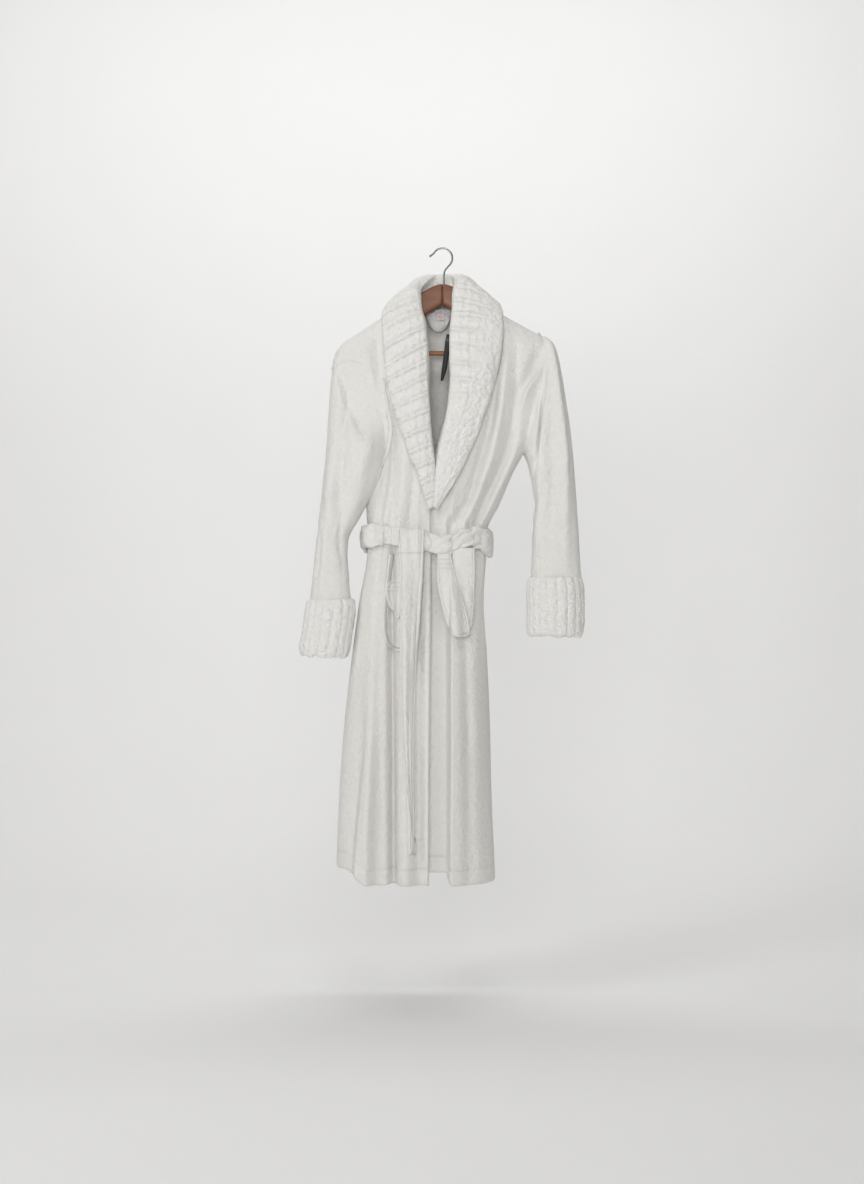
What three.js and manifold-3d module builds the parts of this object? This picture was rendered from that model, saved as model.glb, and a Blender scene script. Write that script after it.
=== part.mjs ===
// A white hotel bathrobe, tied at the waist and hung on a contoured wooden hanger with a swivel hook.
// Millimetres, +Z up. The origin is the top of the inside of the hook, where it rests on a rail.
// The front faces -Y. Right and left are the wearer's, so the right side is at -X.
import * as THREE from "three";
import { mergeVertices } from "three/addons/utils/BufferGeometryUtils.js";
import Module from "manifold-3d";

const wasm = await Module();
wasm.setup();
const { clamp, lerp, degToRad } = THREE.MathUtils;

// ---- Fits ----
const touchGap = 0.5; // between two soft pieces that lie on each other
const seamGap = 0.5; // between two panels sewn edge to edge
const facetGap = 1.7; // from a flat piece to the faceted curve of the back it is sewn to
const woodGap = 0.3; // around a piece let into the wood
const swingGap = 0.6; // between the round end of a shoulder and the sleeve that swings on it

// ---- Hook ----
const wire = 3.6; // diameter of the wire
const crook = 18; // inside radius of the hook
const shankX = 3;
const yokeTop = -70; // height of the wood under the hook
const shankInWood = 26;
const shankHead = { across: 7.2, high: 3 };

// ---- Hanger ----
const hangerReach = 208; // from the middle to each end of the wood
const shoulderDrop = 134; // from the top of the yoke to the top of the ends
const yokeHeight = 42;
const yokeThickness = 14;
const endHeight = 35;
const endThickness = 20;
const forwardSweep = 13; // how far the ends curve forward
const dowel = { diameter: 6, length: 24, underShank: 7 };
const bar = { diameter: 9.6, drop: 210, socket: 12, fromEnd: 26 };
const screw = { diameter: 3, head: 6.4, headHeight: 2.2, length: 26, bite: 10 };
const endBore = 40; // drilled in from the end of an arm for the head of the screw

// ---- Robe body ----
const cloth = 6; // thickness of the pile fabric
const shoulderOverhang = 13; // how far the shoulders pass the ends of the hanger
const shoulderArch = 45; // height over which a shoulder rounds over
const neckHalf = 58;
const backNeck = -118;
const armholeTop = -276;
const armpit = -405;
const armholeWidth = 150; // from the middle to the front and back edges of an armhole
const robeLength = 1256; // from the rail to the hem
const waist = { height: -583, right: -150, left: 91, depth: 58 };
const hem = { right: -212, left: 106, depth: 100 };
const chest = { right: -144, left: 140, depth: 60 };

// ---- Collar, belt, pocket, labels ----
const collarThickness = 13;
const beltWidth = 50;
const beltThickness = 9;
const beltLoop = { width: 9, overhang: 8, thickness: 3.5 };
const pocket = { right: -117, left: -34, top: -630, bottom: -802, wall: 4, room: 10, seam: 6 };
const tail = { top: -562, bottom: -1208, thickness: 7 };
const bow = { top: -590, bottom: -772, thickness: 11 };
const shortEnd = { bottom: -738, thickness: 5 };
const facing = { middle: -8, width: 54, top: -114, height: 48, thickness: 11 };
const neckLabel = { width: 18, height: 14, thickness: 1, offset: 4 };
const swingLabel = { width: 10, length: 92, thickness: 1.2, top: -176 };

// ---- Sleeves ----
const cuffThickness = 12;
const capRadius = 72; // of the round end of a shoulder, on which the sleeve swings
const rightShoulder = { x: -190, z: -203 };
const leftShoulder = { x: 195, z: -195 };

const hemHeight = -robeLength;
const beltTop = waist.height + beltWidth / 2;
const beltBottom = waist.height - beltWidth / 2;

// ---- Materials ----
const finish = (color, roughness, metalness = 0) =>
  new THREE.MeshStandardMaterial({ color, roughness, metalness });
const terry = () => finish(0xeceae4, 0.95);
const plush = () => finish(0xf2f0ea, 1);
const hangerWood = () => finish(0x7d4e3a, 0.45);
const barWood = () => finish(0x9a6238, 0.5);
const steel = () => finish(0xb9bcc0, 0.25, 1);
const blackWeave = () => finish(0x141416, 0.8);
const whiteWeave = () => finish(0xf4f1ee, 0.8);

const robe = new THREE.Group();

function place(name, geometry, material) {
  const mesh = new THREE.Mesh(geometry, material);
  mesh.name = name;
  robe.add(mesh);
}

// ---- Solids from surfaces ----

// The value in a column of a table at a height, smooth between rows. Heights fall down the table.
function at(table, height, column) {
  const last = table.length - 1;
  let i = 0;
  while (i < last - 1 && height < table[i + 1][0]) i++;
  const step = table[i][0] - table[i + 1][0];
  const t = clamp((table[i][0] - height) / step, 0, 1);
  const slope = (j) => {
    if (j === 0 || j === last) return 0;
    return (table[j + 1][column] - table[j - 1][column]) / (table[j - 1][0] - table[j + 1][0]);
  };
  const [a, b] = [table[i][column], table[i + 1][column]];
  const ease = t * t * (3 - 2 * t);
  return a + (b - a) * ease + step * t * (1 - t) * (slope(i) * (1 - t) - slope(i + 1) * t);
}

const shares = (count) => Array.from({ length: count + 1 }, (_, i) => i / count);

// A geometry whose faces point out, from points and triangles.
function closed(points, triangles) {
  let volume = 0;
  for (const [a, b, c] of triangles) volume += points[a].dot(points[b].clone().cross(points[c]));
  const turned = volume < 0 ? triangles.map(([a, b, c]) => [a, c, b]) : triangles;
  const geometry = new THREE.BufferGeometry().setFromPoints(points);
  geometry.setIndex(turned.flat());
  return geometry;
}

// The solid between point(u, v, 0) and point(u, v, 1). A surface that wraps joins its last column
// to its first, and has no side walls.
function slab(point, columns, rows, wraps = false) {
  const across = wraps ? columns.slice(0, -1) : columns;
  const [m, n] = [across.length, rows.length];
  const points = [];
  for (const layer of [0, 1]) for (const v of rows) for (const u of across) points.push(point(u, v, layer));
  const id = (layer, row, column) => layer * m * n + row * m + (column % m);
  const triangles = [];
  const quad = (a, b, c, d) => triangles.push([a, b, c], [a, c, d]);
  for (let j = 0; j < n - 1; j++) {
    for (let i = 0; i < (wraps ? m : m - 1); i++) {
      quad(id(0, j, i), id(0, j, i + 1), id(0, j + 1, i + 1), id(0, j + 1, i));
      quad(id(1, j, i), id(1, j + 1, i), id(1, j + 1, i + 1), id(1, j, i + 1));
    }
    if (wraps) continue;
    quad(id(0, j, 0), id(0, j + 1, 0), id(1, j + 1, 0), id(1, j, 0));
    quad(id(0, j, m - 1), id(1, j, m - 1), id(1, j + 1, m - 1), id(0, j + 1, m - 1));
  }
  for (let i = 0; i < (wraps ? m : m - 1); i++) {
    quad(id(0, 0, i), id(1, 0, i), id(1, 0, i + 1), id(0, 0, i + 1));
    quad(id(0, n - 1, i), id(0, n - 1, i + 1), id(1, n - 1, i + 1), id(1, n - 1, i));
  }
  return closed(points, triangles);
}

// A solid from closed rings of points, one after another, with flat ends.
function loft(rings) {
  const n = rings[0].length;
  const points = rings.flat();
  const triangles = [];
  for (let j = 0; j < rings.length - 1; j++) {
    for (let i = 0; i < n; i++) {
      const k = (i + 1) % n;
      triangles.push([j * n + i, j * n + k, (j + 1) * n + k], [j * n + i, (j + 1) * n + k, (j + 1) * n + i]);
    }
  }
  const end = (rings.length - 1) * n;
  for (let i = 1; i < n - 1; i++) triangles.push([0, i + 1, i], [end, end + i, end + i + 1]);
  return closed(points, triangles);
}

function solid(geometry) {
  const bare = geometry.clone();
  for (const name of Object.keys(bare.attributes)) if (name !== "position") bare.deleteAttribute(name);
  const merged = mergeVertices(bare, 1e-4);
  const mesh = new wasm.Mesh({
    numProp: 3,
    vertProperties: new Float32Array(merged.attributes.position.array),
    triVerts: new Uint32Array(merged.index.array),
  });
  return new wasm.Manifold(mesh);
}

function shaped(manifold) {
  const mesh = manifold.getMesh();
  const geometry = new THREE.BufferGeometry();
  geometry.setAttribute("position", new THREE.BufferAttribute(mesh.vertProperties, 3));
  geometry.setIndex(new THREE.BufferAttribute(mesh.triVerts, 1));
  return geometry;
}

// A geometry with tools cut out of it, each a geometry or a manifold solid.
function cut(geometry, ...tools) {
  const solids = tools.map((tool) => (tool.isBufferGeometry ? solid(tool) : tool));
  return shaped(solids.reduce((left, tool) => left.subtract(tool), solid(geometry)));
}

function block(x0, x1, y0, y1, z0, z1) {
  const box = new THREE.BoxGeometry(x1 - x0, y1 - y0, z1 - z0);
  return box.translate((x0 + x1) / 2, (y0 + y1) / 2, (z0 + z1) / 2);
}

// A round rod along X, Y or Z, centred on a point.
function rod(axis, diameter, length, x, y, z, sides = 20) {
  const geometry = new THREE.CylinderGeometry(diameter / 2, diameter / 2, length, sides);
  if (axis === "X") geometry.rotateZ(Math.PI / 2);
  if (axis === "Z") geometry.rotateX(Math.PI / 2);
  return geometry.translate(x, y, z);
}

// ---- Hanger ----

// Height of the top of the wood: a short arc over the yoke, then an even slope.
function woodTop(x) {
  const bend = 0.12;
  const out = Math.hypot(Math.min(Math.abs(x) / hangerReach, 1), bend) - bend;
  return yokeTop - (shoulderDrop * out) / (Math.hypot(1, bend) - bend);
}

function woodHeight(x) {
  const deepHeight = 50; // of the deepest part of an arm, beside the yoke
  const waistHeight = 24; // of the slimmest part of an arm, halfway out
  const deepest = 0.17; // share of the way out
  const out = Math.abs(x) / hangerReach;
  const ease = (from, to) => Math.sin(Math.min((out - from) / (to - from), 1) * (Math.PI / 2));
  if (out < deepest) return lerp(yokeHeight, deepHeight, ease(0, deepest));
  if (out < 0.5) return lerp(deepHeight, waistHeight, ease(deepest, 0.5));
  return lerp(waistHeight, endHeight, ease(0.5, 1));
}

const woodMiddle = (x) => -forwardSweep * (Math.min(Math.abs(x) / hangerReach, 1)) ** 2;
const woodThickness = (x) => lerp(yokeThickness, endThickness, Math.min(Math.abs(x) / hangerReach, 1));

// One arm, as rounded sections from the seam in the middle to the tip, swollen by some clearance.
function armSolid(side, swell = 0) {
  const corners = 16;
  const squareness = 0.6;
  const round = (value) => Math.sign(value) * Math.abs(value) ** squareness;
  const section = (x, shrink) => {
    const [high, thick] = [woodHeight(x) * shrink + 2 * swell, woodThickness(x) * shrink + 2 * swell];
    const middle = woodTop(x) - woodHeight(x) / 2;
    return Array.from({ length: corners }, (_, i) => {
      const angle = ((i + 0.5) / corners) * 2 * Math.PI;
      const y = woodMiddle(x) + (round(Math.cos(angle)) * thick) / 2;
      return new THREE.Vector3(side * x, y, middle + (round(Math.sin(angle)) * high) / 2);
    });
  };
  const tip = 12;
  const seam = woodGap / 2 - swell;
  const straight = shares(12).map((t) => section(lerp(seam, hangerReach - tip, t), 1));
  const rounded = [0.4, 0.75, 1].map((t) => section(hangerReach - tip + tip * t, Math.sqrt(1 - t * t * 0.8)));
  return loft([...straight, ...rounded]);
}

function makeHook() {
  const radius = crook + wire / 2;
  const route = [new THREE.Vector3(-radius - 4.5, 0, -crook + 4)];
  for (const degrees of [150, 130, 110, 90, 70, 50, 30, 10, -10, -30]) {
    const angle = degToRad(degrees);
    route.push(new THREE.Vector3(radius * Math.cos(angle), 0, -crook + radius * Math.sin(angle)));
  }
  route.push(new THREE.Vector3(shankX + 7, 0, -crook - 18.5));
  route.push(new THREE.Vector3(shankX + 1.5, 0, -crook - 26));
  route.push(new THREE.Vector3(shankX, 0, -crook - 34), new THREE.Vector3(shankX, 0, yokeTop));
  route.push(new THREE.Vector3(shankX, 0, yokeTop - shankInWood));
  const section = new THREE.Shape();
  section.absarc(0, 0, wire / 2, 0, 2 * Math.PI);
  const options = {
    steps: 34,
    curveSegments: 4,
    bevelEnabled: false,
    extrudePath: new THREE.CatmullRomCurve3(route, false, "centripetal"),
  };
  const bent = solid(new THREE.ExtrudeGeometry(section, options));
  const ball = new THREE.SphereGeometry(wire * 0.62, 8, 6).translate(route[0].x, 0, route[0].z);
  const head = rod("Z", shankHead.across, shankHead.high, shankX, 0, yokeTop - shankInWood);
  place("hook", shaped(bent.add(solid(ball)).add(solid(head))), steel());
}

function makeHanger() {
  const barZ = -bar.drop;
  const barY = woodMiddle(hangerReach - bar.fromEnd);
  const barEnd = hangerReach - bar.fromEnd;
  const shankBore = rod("Z", wire + 2 * woodGap, shankInWood + 30, shankX, 0, yokeTop - shankInWood / 2 + 15);
  const headRoom = rod("Z", shankHead.across + 2 * woodGap, shankHead.high + 2 * woodGap, shankX, 0,
    yokeTop - shankInWood);
  const screwEnd = barEnd - screw.bite;
  const dowelZ = yokeTop - shankInWood - dowel.underShank;
  const dowelRod = (clearance) =>
    rod("X", dowel.diameter + 2 * clearance, dowel.length + 2 * clearance, 0, 0, dowelZ);
  place("joint_dowel", dowelRod(0), barWood());
  for (const [side, name] of [[-1, "right"], [1, "left"]]) {
    const along = (diameter, length, x) => rod("X", diameter, length, side * x, barY, barZ);
    const headX = screwEnd + screw.length + screw.headHeight / 2;
    const tools = [shankBore, headRoom, dowelRod(woodGap)];
    tools.push(along(bar.diameter + 2 * woodGap, 2 * bar.socket, barEnd - bar.socket + woodGap));
    tools.push(along(screw.diameter + 2 * woodGap, 2 * screw.length, screwEnd + screw.length));
    tools.push(along(screw.head + 2 * woodGap, endBore, screwEnd + screw.length - woodGap + endBore / 2));
    place(`hanger_${name}_arm`, cut(armSolid(side), ...tools), hangerWood());
    const shaft = solid(along(screw.diameter, screw.length, screwEnd + screw.length / 2));
    const screwHead = solid(along(screw.head, screw.headHeight, headX));
    place(`bar_screw_${name}`, shaped(shaft.add(screwHead)), steel());
  }
  const pilots = [-1, 1].map((side) =>
    rod("X", screw.diameter + 2 * woodGap, 2 * (screw.bite + woodGap), side * barEnd, barY, barZ));
  place("trouser_bar", cut(rod("X", bar.diameter, 2 * barEnd, 0, barY, barZ), ...pilots), barWood());
}

// ---- Body of the robe ----

// Height, right edge, left edge and half depth of the body, from the shoulders to the hem.
const shoulderHalf = hangerReach + shoulderOverhang;
const skirtDip = { share: 0.15, left: 80 }; // the left side is drawn in just under the belt
const bodyTable = [
  [yokeTop, -shoulderHalf, shoulderHalf + 5, 40],
  [armholeTop, -shoulderHalf, shoulderHalf + 5, 52],
  [armholeTop - 60, -shoulderHalf + 18, shoulderHalf - 18, 57],
  [armpit, -shoulderHalf + 58, shoulderHalf - 55, chest.depth],
  [armpit - 45, chest.right, chest.left, chest.depth],
  [beltTop, waist.right, waist.left, waist.depth],
  [beltBottom, waist.right, waist.left, waist.depth],
  ...[skirtDip.share, 0.3, 0.5, 0.75, 1].map((share) => {
    const flare = Math.sin(share * (Math.PI / 2));
    const left = lerp(skirtDip.left, hem.left, (share - skirtDip.share) / (1 - skirtDip.share));
    const depth = lerp(waist.depth, hem.depth, flare);
    return [lerp(beltBottom, hemHeight, share), lerp(waist.right, hem.right, flare), left, depth];
  }),
];
const ridge = (x) => woodTop(x) + touchGap + cloth; // the outer face on top of the shoulders

// A point on the body at an angle round it, 0 at the right side and PI at the left, at a height, and
// at a depth under the outer face. side is -1 for the front and 1 for the back.
function bodyPoint(side, angle, height, depth) {
  const [right, left] = [at(bodyTable, height, 1), at(bodyTable, height, 2)];
  const x = (right + left) / 2 - ((left - right) / 2 - depth) * Math.cos(angle);
  const under = clamp((ridge(x) - depth - height) / shoulderArch, 0, 1);
  const arch = Math.sqrt(1 - (1 - under) ** 2);
  const squareness = 0.55;
  const out = (at(bodyTable, height, 3) - depth) * Math.sin(angle) ** squareness * arch;
  const middle = woodMiddle(x) * (1 - clamp((ridge(x) - height) / (2 * shoulderArch), 0, 1));
  return new THREE.Vector3(x, middle + side * (seamGap / 2 + out), height);
}

// The angle at which the body reaches an x at a height.
function angleAt(x, height) {
  const [right, left] = [at(bodyTable, height, 1), at(bodyTable, height, 2)];
  return Math.acos(clamp(((right + left) / 2 - x) / ((left - right) / 2), -1, 1));
}

const onFront = (x, height, depth) => bodyPoint(-1, angleAt(x, height), height, depth);

// Height of the top edge of a column of the body: the shoulder, or the neckline.
function topEdge(x, depth) {
  const rise = ridge(neckHalf) - backNeck;
  const neckline = backNeck + rise * (Math.abs(x) / neckHalf) ** 3;
  return Math.min(ridge(x) - depth, neckline - Math.min(depth, 0));
}

// Rows of the body: over the shoulder, down to the armholes, then at fixed heights to the hem, as
// functions of the height where a column starts.
const archShares = [0, 0.08, 0.3, 0.62, 1];
const lowRows = [armholeTop + 26, armholeTop, ...[0.25, 0.5, 0.75].map((t) => lerp(armholeTop, armpit, t)),
  armpit, armpit - 45, armpit - 95, beltTop + 12, beltTop, beltBottom,
  ...[0.08, 0.15, 0.24, 0.34, 0.45, 0.57, 0.7, 0.85, 1].map((t) => lerp(beltBottom, hemHeight, t))];
const bodyRows = [
  ...archShares.map((share) => (top) => top - share * shoulderArch),
  ...[0.33, 0.67].map((t) => (top) => lerp(top - shoulderArch, lowRows[0], t)),
  ...lowRows.map((height) => () => height),
];
const bodyColumns = shares(16);
const sideAngle = 0.00005; // how far the side seams stop short of the widest line

// x of the front edges, from the neck down past the belt to the hem.
const rightEdge = [[-60, -66], [-91, -58], [-115, -47], [-135, -38], [-200, -28], [-300, -26], [-402, -22],
  [-502, -22], [-560, -24], [hemHeight - 5, -25]];
const leftEdge = [[-60, 66], [-91, 58], [-112, 40], [-142, 22], [-182, 14], [-272, 15], [-322, 9], [-402, -9],
  [-462, -15], [-560, -18], [-900, -17], [hemHeight - 5, 9]];

// A column of the body at a share of the way from the right side to the left, and at a row.
function bodyGrid(side, u, row, depth, neckline) {
  const angle = lerp(sideAngle, Math.PI - sideAngle, u);
  const topX = -shoulderHalf * Math.cos(angle);
  return bodyPoint(side, angle, row(neckline ? topEdge(topX, depth) : ridge(topX) - depth), depth);
}

function bodyHalf(side, neckline) {
  return slab((u, row, layer) => bodyGrid(side, u, row, layer * cloth, neckline), bodyColumns, bodyRows);
}

// Everything on one side of a front edge, as a thick plate.
function edgeTool(side, edges) {
  const outline = new THREE.Shape();
  outline.moveTo(side * (shoulderHalf + 60), 0);
  edges.forEach(([height, x], i) => (i === 0 ? outline.lineTo(x, 0) : outline.lineTo(x, height)));
  outline.lineTo(side * (shoulderHalf + 60), hemHeight - 5);
  const plate = new THREE.ExtrudeGeometry(outline, { depth: 400, bevelEnabled: false });
  return plate.rotateX(Math.PI / 2).translate(0, 200, 0);
}

// What the front or back half of the body takes up, with some clearance, from just past its middle.
function halfEnvelope(side, clearance) {
  const pastMiddle = 4;
  const point = (u, row, layer) => {
    const outer = bodyGrid(side, u, row, -clearance, side > 0);
    return layer === 0 ? outer : outer.setY(woodMiddle(outer.x) - side * pastMiddle);
  };
  return solid(slab(point, bodyColumns, bodyRows));
}

const frontEnvelope = (clearance) => halfEnvelope(-1, clearance);
const bodyEnvelope = (clearance) => frontEnvelope(clearance).add(halfEnvelope(1, clearance));

// What the belt takes up, with clearance round it.
function beltEnvelope() {
  const band = block(-400, 400, -300, 300, beltBottom - touchGap, beltTop + touchGap);
  return bodyEnvelope(touchGap + beltThickness + touchGap).intersect(solid(band));
}

// What an armhole takes out of the panels: everything past its edge, but for the round shoulder end.
function armholeTool(side, shoulder) {
  const sides = [side * armholeWidth, side * (shoulderHalf + 40)];
  const past = block(Math.min(...sides), Math.max(...sides), -200, 200, armpit - 20, shoulder.z);
  const cap = rod("Y", 2 * (capRadius - swingGap), 500, shoulder.x, 0, shoulder.z, 48);
  return shaped(solid(past).subtract(solid(cap)));
}

function makeBody() {
  const tools = [armholeTool(-1, rightShoulder), armholeTool(1, leftShoulder)];
  for (const side of [-1, 1]) tools.push(armSolid(side, woodGap));
  place("back_panel", cut(bodyHalf(1, true), ...tools), terry());
  const front = solid(cut(bodyHalf(-1, false), ...tools));
  place("right_front", shaped(front.intersect(solid(edgeTool(-1, rightEdge)))), terry());
  place("left_front", shaped(front.intersect(solid(edgeTool(1, leftEdge)))), terry());
}

// ---- Collar ----

// Stations along each half of the shawl collar, from the middle of the back of the neck to its end at
// the waist: the crest it rolls over, then its free edge. Where y is null it lies on the front.
const rightCollar = [
  [[-0.4, 44, -50], [-0.4, 54, -135]],
  [[-26, 36, -53], [-45, 54, -133]],
  [[-40, 12, -60], [-88, 42, -124]],
  [[-45, -12, -72], [-114, 4, -113]],
  [[-46, -29, -98], [-121, -26, -124]],
  [[-40, -47, -130], [-122, -44, -146]],
  [[-32, null, -165], [-120, null, -178]],
  [[-28, null, -208], [-117, null, -226]],
  [[-27, null, -262], [-110, null, -276]],
  [[-25, null, -320], [-98, null, -326]],
  [[-22, null, -378], [-79, null, -380]],
  [[-20, null, -430], [-56, null, -433]],
  [[-21, null, -480], [-40, null, -483]],
  [[-24, null, -535], [-32, null, -537]],
];
const leftCollar = [
  [[0.4, 44, -50], [0.4, 54, -135]],
  [[22, 36, -52], [45, 54, -133]],
  [[29, 12, -56], [86, 42, -120]],
  [[27, -12, -64], [112, 4, -107]],
  [[23, -30, -92], [121, -26, -120]],
  [[19, -47, -126], [122, -44, -142]],
  [[15, null, -165], [121, null, -172]],
  [[13, null, -208], [116, null, -218]],
  [[15, null, -262], [107, null, -266]],
  [[10, null, -318], [93, null, -312]],
  [[0, null, -365], [75, null, -358]],
  [[-9, null, -406], [54, null, -404]],
  [[-14, null, -456], [27, null, -460]],
  [[-17, null, -506], [-8, null, -512]],
];

function collarHalf(stations) {
  const spine = [0, 1].map((edge) => {
    const points = stations.map((station) => {
      const [x, y, z] = station[edge];
      return y === null ? onFront(x, z, -collarThickness - touchGap) : new THREE.Vector3(x, y, z);
    });
    return new THREE.CatmullRomCurve3(points);
  });
  const surface = (u, v) => {
    const [crest, free] = spine.map((curve) => curve.getPoint(v));
    return crest.lerp(free, u);
  };
  const step = 0.01;
  const inward = (u, v) => {
    const alongV = surface(u, Math.min(v + step, 1)).sub(surface(u, Math.max(v - step, 0)));
    const acrossU = surface(Math.min(u + step, 1), v).sub(surface(Math.max(u - step, 0), v));
    const normal = alongV.cross(acrossU).normalize();
    if (v === 0) normal.setX(0).normalize();
    return normal.multiplyScalar(-Math.sign(stations[0][0][0]));
  };
  return slab(
    (u, v, layer) => surface(u, v).addScaledVector(inward(u, v), layer * (collarThickness + 4)),
    shares(4),
    shares(24),
  );
}

function makeCollar() {
  const inFront = frontEnvelope(touchGap);
  const edges = [[-1, rightEdge], [1, leftEdge]];
  const panels = edges.map(([side, edge]) => inFront.intersect(solid(edgeTool(side, edge))));
  const tools = [halfEnvelope(1, touchGap), ...panels, armSolid(-1, touchGap), armSolid(1, touchGap)];
  for (const [name, stations] of [["right_collar", rightCollar], ["left_collar", leftCollar]]) {
    place(name, cut(collarHalf(stations), ...tools), plush());
  }
}

// ---- Belt ----

// A piece lying on the front between two edges that are tables of height and x, at a distance from it.
function onFrontSlab(right, left, rows, near, thickness, columns = 4) {
  return slab(
    (u, v, layer) => {
      const height = lerp(right[0][0], right[right.length - 1][0], v);
      const x = lerp(at(right, height, 1), at(left, height, 1), u);
      const point = onFront(x, height, 0);
      return point.setY(point.y - near(height) - layer * thickness);
    },
    shares(columns),
    rows,
  );
}

// The columns of a ring round the body, each with its side, and back to the first.
const ringColumns = [...bodyColumns.map((u) => [-1, u]), ...bodyColumns.map((u) => [1, 1 - u]), [-1, 0]];

function ringPoint([side, u], height, depth) {
  return bodyPoint(side, lerp(sideAngle, Math.PI - sideAngle, u), height, depth);
}

function makeBelt() {
  const rows = [beltTop, beltBottom];
  const point = (column, height, layer) => ringPoint(column, height, -touchGap - layer * beltThickness);
  const band = slab(point, ringColumns, rows, true);
  place("belt_band", band, terry());
  const front = touchGap + beltThickness + touchGap; // what stands in front of the belt starts here
  const overPocket = touchGap + pocket.room + pocket.wall + touchGap;
  const knotDepth = 9;
  const onBelt = (geometry) => cut(geometry, beltEnvelope());
  const knotRight = [[beltTop - 2, -48], [beltBottom + 2, -48]];
  const knotLeft = [[beltTop - 2, -17], [beltBottom + 2, -16]];
  const knot = onFrontSlab(knotRight, knotLeft, shares(4), () => front - 2, knotDepth + 2);
  place("belt_knot", onBelt(knot), terry());

  const tailRight = [[tail.top, -89], [-700, -86], [-800, -85], [-882, -88], [-982, -79], [-1102, -69],
    [tail.bottom, -66]];
  const tailLeft = [[tail.top, -34], [-700, -42], [-800, -46], [-882, -50], [-982, -54], [-1102, -54],
    [tail.bottom, -60]];
  const top = onFront(-61, tail.top, 0).y;
  const tailOut = front + knotDepth + touchGap;
  const hang = (height) => {
    const plumb = top - tailOut; // it falls straight until the flare of the skirt reaches it
    const skirt = onFront(-61, height, 0).y;
    const pastPocket = clamp((pocket.bottom + 40 - height) / 150, 0, 1);
    const lift = lerp(overPocket + shortEnd.thickness + touchGap, 4, pastPocket);
    return Math.max(skirt - plumb, lift);
  };
  place("belt_tail_long", onFrontSlab(tailRight, tailLeft, shares(14), hang, tail.thickness), terry());

  const bowRight = [[bow.top, -12], [-640, -10], [bow.bottom, 14]];
  const bowLeft = [[bow.top, 62], [-700, 60], [bow.bottom, 52]];
  const loop = onFrontSlab(bowRight, bowLeft, shares(6), () => front - 3, bow.thickness + 3);
  place("belt_bow_loop", onBelt(loop), terry());

  const shortRight = [[beltBottom - touchGap, -100], [-666, -109], [shortEnd.bottom, -92]];
  const shortLeft = [[beltBottom - touchGap, -70], [-666, -72], [shortEnd.bottom, -84]];
  const short = onFrontSlab(shortRight, shortLeft, shares(6), () => overPocket, shortEnd.thickness, 3);
  place("belt_end_short", short, terry());
}

// A strap sewn to the body above and below the belt, with the belt running through it.
function beltLoopSolid(x) {
  const half = beltLoop.width / 2;
  const far = touchGap + beltThickness + touchGap + beltLoop.thickness;
  const strap = slab(
    (u, v, layer) => {
      const height = lerp(beltTop + beltLoop.overhang, beltBottom - beltLoop.overhang, v);
      return onFront(x + lerp(-half, half, u), height, lerp(2, -far, layer));
    },
    shares(3),
    shares(4),
  );
  return cut(strap, frontEnvelope(touchGap), beltEnvelope());
}

function makeTrim() {
  place("right_belt_loop", beltLoopSolid(-121), terry());
  place("left_belt_loop", beltLoopSolid(68), terry());

  const patch = (right, left, top, bottom, near, far) => slab(
    (u, v, layer) => onFront(lerp(right, left, u), lerp(top, bottom, v), -lerp(near, far, layer)),
    shares(6),
    shares(6),
  );
  const { right, left, seam } = pocket;
  const outside = patch(right, left, pocket.top, pocket.bottom, -2, touchGap + pocket.room + pocket.wall);
  const bottom = pocket.bottom + seam;
  const inside = patch(right + seam, left - seam, pocket.top + 10, bottom, -4, touchGap + pocket.room);
  place("right_pocket", cut(outside, inside, frontEnvelope(touchGap)), terry());

  const halfMoon = new THREE.Shape();
  halfMoon.moveTo(-facing.width / 2, 0);
  halfMoon.absellipse(0, 0, facing.width / 2, facing.height, Math.PI, 2 * Math.PI, false);
  const moon = new THREE.ExtrudeGeometry(halfMoon,
    { depth: facing.thickness, bevelEnabled: false, curveSegments: 10 });
  const corner = facing.middle - facing.width / 2; // where the back curves closest to it
  const facingBack = bodyPoint(1, angleAt(corner, facing.top), facing.top, cloth).y - facetGap;
  moon.rotateX(Math.PI / 2).translate(facing.middle, facingBack, facing.top);
  place("neck_facing", moon, plush());
  const labelFace = facingBack - facing.thickness - woodGap;
  const labelTop = facing.top - 12;
  const labelX = facing.middle + neckLabel.offset;
  place("neck_label", block(labelX - neckLabel.width / 2, labelX + neckLabel.width / 2,
    labelFace - neckLabel.thickness, labelFace, labelTop - neckLabel.height, labelTop), whiteWeave());

  const { width, length, thickness } = swingLabel;
  const strip = block(-width / 2, width / 2, 0, thickness, -length, 0);
  const behind = onFront(at(leftEdge, swingLabel.top, 1) - 4, swingLabel.top, cloth + touchGap);
  strip.rotateX(degToRad(3)).rotateY(degToRad(3.5));
  place("swing_label", strip.translate(behind.x, behind.y, swingLabel.top), blackWeave());
}

// ---- Sleeves ----

// Height, outer edge, inner edge, middle in y and half depth of each sleeve and cuff.
const rightSleeve = [
  [-250, -223, -156, -8, 40],
  [-330, -227, -153, -14, 44],
  [-400, -233, -154, -20, 44],
  [-460, -239, -160, -24, 42],
  [-520, -245, -170, -26, 40],
  [-584, -251, -188, -28, 36],
  [-640, -257, -187, -30, 34],
  [-700, -264, -184, -30, 34],
];
const rightCuff = [
  [-700.5, -269, -178, -30, 42],
  [-730, -274, -178, -30, 44],
  [-775, -280, -184, -30, 44],
  [-816, -283, -193, -30, 42],
];
const leftSleeve = [
  [-240, 234, 158, -8, 40],
  [-322, 250, 158, -14, 44],
  [-382, 257, 162, -20, 44],
  [-442, 261, 172, -24, 42],
  [-502, 265, 182, -26, 40],
  [-562, 269, 180, -28, 36],
  [-654, 274, 177, -30, 36],
];
const leftCuff = [
  [-654.5, 277, 171, -30, 44],
  [-700, 279, 169, -30, 46],
  [-776, 278, 170, -30, 46],
];

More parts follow.
